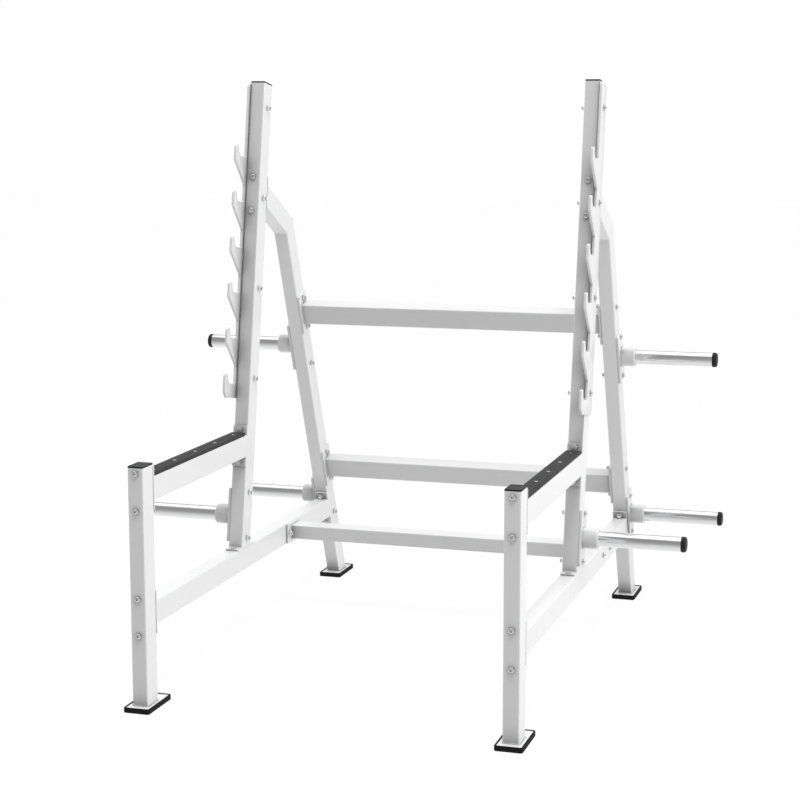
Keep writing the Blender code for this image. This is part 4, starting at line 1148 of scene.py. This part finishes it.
WHITE = (1.0, 1.0, 1.0, 1.0)
FLOOR_SIZE = 60.0
FLOOR_BELOW_FEET = 0.0004
FLOOR_TONE = (0.96, 0.96, 0.96, 1.0)
FLOOR_OWN_LIGHT = 0.92

# The photograph's camera, solved from the CAD
CAMERA_PLACE = (1.8118, -5.9185, 1.8112)
CAMERA_TURN = (math.pi / 2 - 0.1547, 0.0011, 0.3033)
CAMERA_SENSOR = 36.0
CAMERA_LENS = 84.05
CAMERA_SIGHT = 200.0


def light_ramp(tree, height, stops):
    """Brightness by height, as a share of the brightest."""
    ramp = add(tree, "ShaderNodeValToRGB", {"Fac": height})
    set_ramp(ramp.color_ramp, [((sine + 1) / 2, light / BRIGHTEST) for sine, light in stops])
    return ramp.outputs["Color"]


def zoned_light(tree, way, edge, front, round_about):
    """Colour of the studio by direction, with its front apart from the rest."""
    parts = add(tree, "ShaderNodeSeparateXYZ", {"Vector": way})
    height = mapped(tree, parts.outputs["Z"], -1.0, 1.0)
    share = mapped(tree, parts.outputs["Y"], *edge, interpolation_type="SMOOTHSTEP")
    return mixed_colour(tree, share, light_ramp(tree, height, round_about),
                        light_ramp(tree, height, front))


def mixed_shader(tree, factor, first, second):
    """Shader between two others."""
    return add(tree, "ShaderNodeMixShader",
               {0: factor, 1: first.outputs[0], 2: second.outputs[0]})


def build_world():
    """Soft light for the rack, a white background for the camera and a screen for bright metal."""
    world = bpy.data.worlds.new("studio")
    bpy.context.scene.world = world
    world.use_nodes = True
    tree = world.node_tree
    tree.nodes.clear()
    way = add(tree, "ShaderNodeTexCoord", {}).outputs["Generated"]
    rays = add(tree, "ShaderNodeLightPath", {})
    back = add(tree, "ShaderNodeSeparateXYZ", {"Vector": way}).outputs["Y"]
    strength = mapped(tree, back, *DIM_BACK_EDGE, BRIGHTEST, BRIGHTEST * DIM_BACK,
                      interpolation_type="SMOOTHSTEP")
    studio = add(tree, "ShaderNodeBackground", {
        "Color": zoned_light(tree, way, LIGHT_EDGE, FRONT_LIGHT, ROUND_LIGHT),
        "Strength": strength})
    mirrored = add(tree, "ShaderNodeBackground", {
        "Color": zoned_light(tree, way, MIRRORED_EDGE, FRONT_MIRRORED, ROUND_MIRRORED),
        "Strength": BRIGHTEST})
    white = add(tree, "ShaderNodeBackground", {"Color": WHITE, "Strength": 1.0})
    straight = add(tree, "ShaderNodeMath", {
        0: rays.outputs["Is Camera Ray"], 1: rays.outputs["Is Transmission Ray"]},
        operation="MAXIMUM")
    lit = mixed_shader(tree, rays.outputs["Is Glossy Ray"], studio, mirrored)
    chosen = mixed_shader(tree, straight.outputs[0], lit, white)
    add(tree, "ShaderNodeOutputWorld", {"Surface": chosen.outputs[0]})


def build_lamps():
    """Soft lamps to the right of the rack and above its front."""
    for name, (place, turn, size, spread, power) in LAMPS.items():
        lamp = bpy.data.objects.new(name, bpy.data.lights.new(name, "AREA"))
        lamp.data.size = size
        lamp.data.spread = math.radians(spread)
        lamp.data.energy = power
        lamp.location = place
        lamp.rotation_euler = turn
        lamp.visible_camera = False
        lamp.visible_glossy = False
        bpy.context.scene.collection.objects.link(lamp)


def build_floor():
    """White floor that keeps a soft shadow."""
    solid = bmesh.new()
    half = FLOOR_SIZE / 2
    solid.faces.new([solid.verts.new((x, y, -FLOOR_BELOW_FEET)) for x, y in
                     ((-half, -half), (half, -half), (half, half), (-half, half))])
    mesh = bpy.data.meshes.new("floor")
    solid.to_mesh(mesh)
    solid.free()
    material = bpy.data.materials.new("white_floor")
    material.use_nodes = True
    tree = material.node_tree
    tree.nodes.clear()
    matt = add(tree, "ShaderNodeBsdfDiffuse", {"Color": FLOOR_TONE})
    own = add(tree, "ShaderNodeEmission", {"Color": WHITE, "Strength": 1.0})
    mixed = mixed_shader(tree, FLOOR_OWN_LIGHT, matt, own)
    add(tree, "ShaderNodeOutputMaterial", {"Surface": mixed.outputs[0]})
    mesh.materials.append(material)
    floor = bpy.data.objects.new("floor", mesh)
    bpy.context.scene.collection.objects.link(floor)
    floor.visible_diffuse = False
    floor.visible_glossy = False
    floor.visible_shadow = False


def build_camera():
    """Camera at the photograph's place."""
    camera = bpy.data.objects.new("camera", bpy.data.cameras.new("camera"))
    camera.location = CAMERA_PLACE
    camera.rotation_euler = CAMERA_TURN
    camera.data.sensor_width = CAMERA_SENSOR
    camera.data.lens = CAMERA_LENS
    camera.data.clip_end = CAMERA_SIGHT
    bpy.context.scene.collection.objects.link(camera)
    bpy.context.scene.camera = camera


build_world()
build_lamps()
build_floor()
build_camera()
bpy.context.scene.view_settings.view_transform = "Standard"
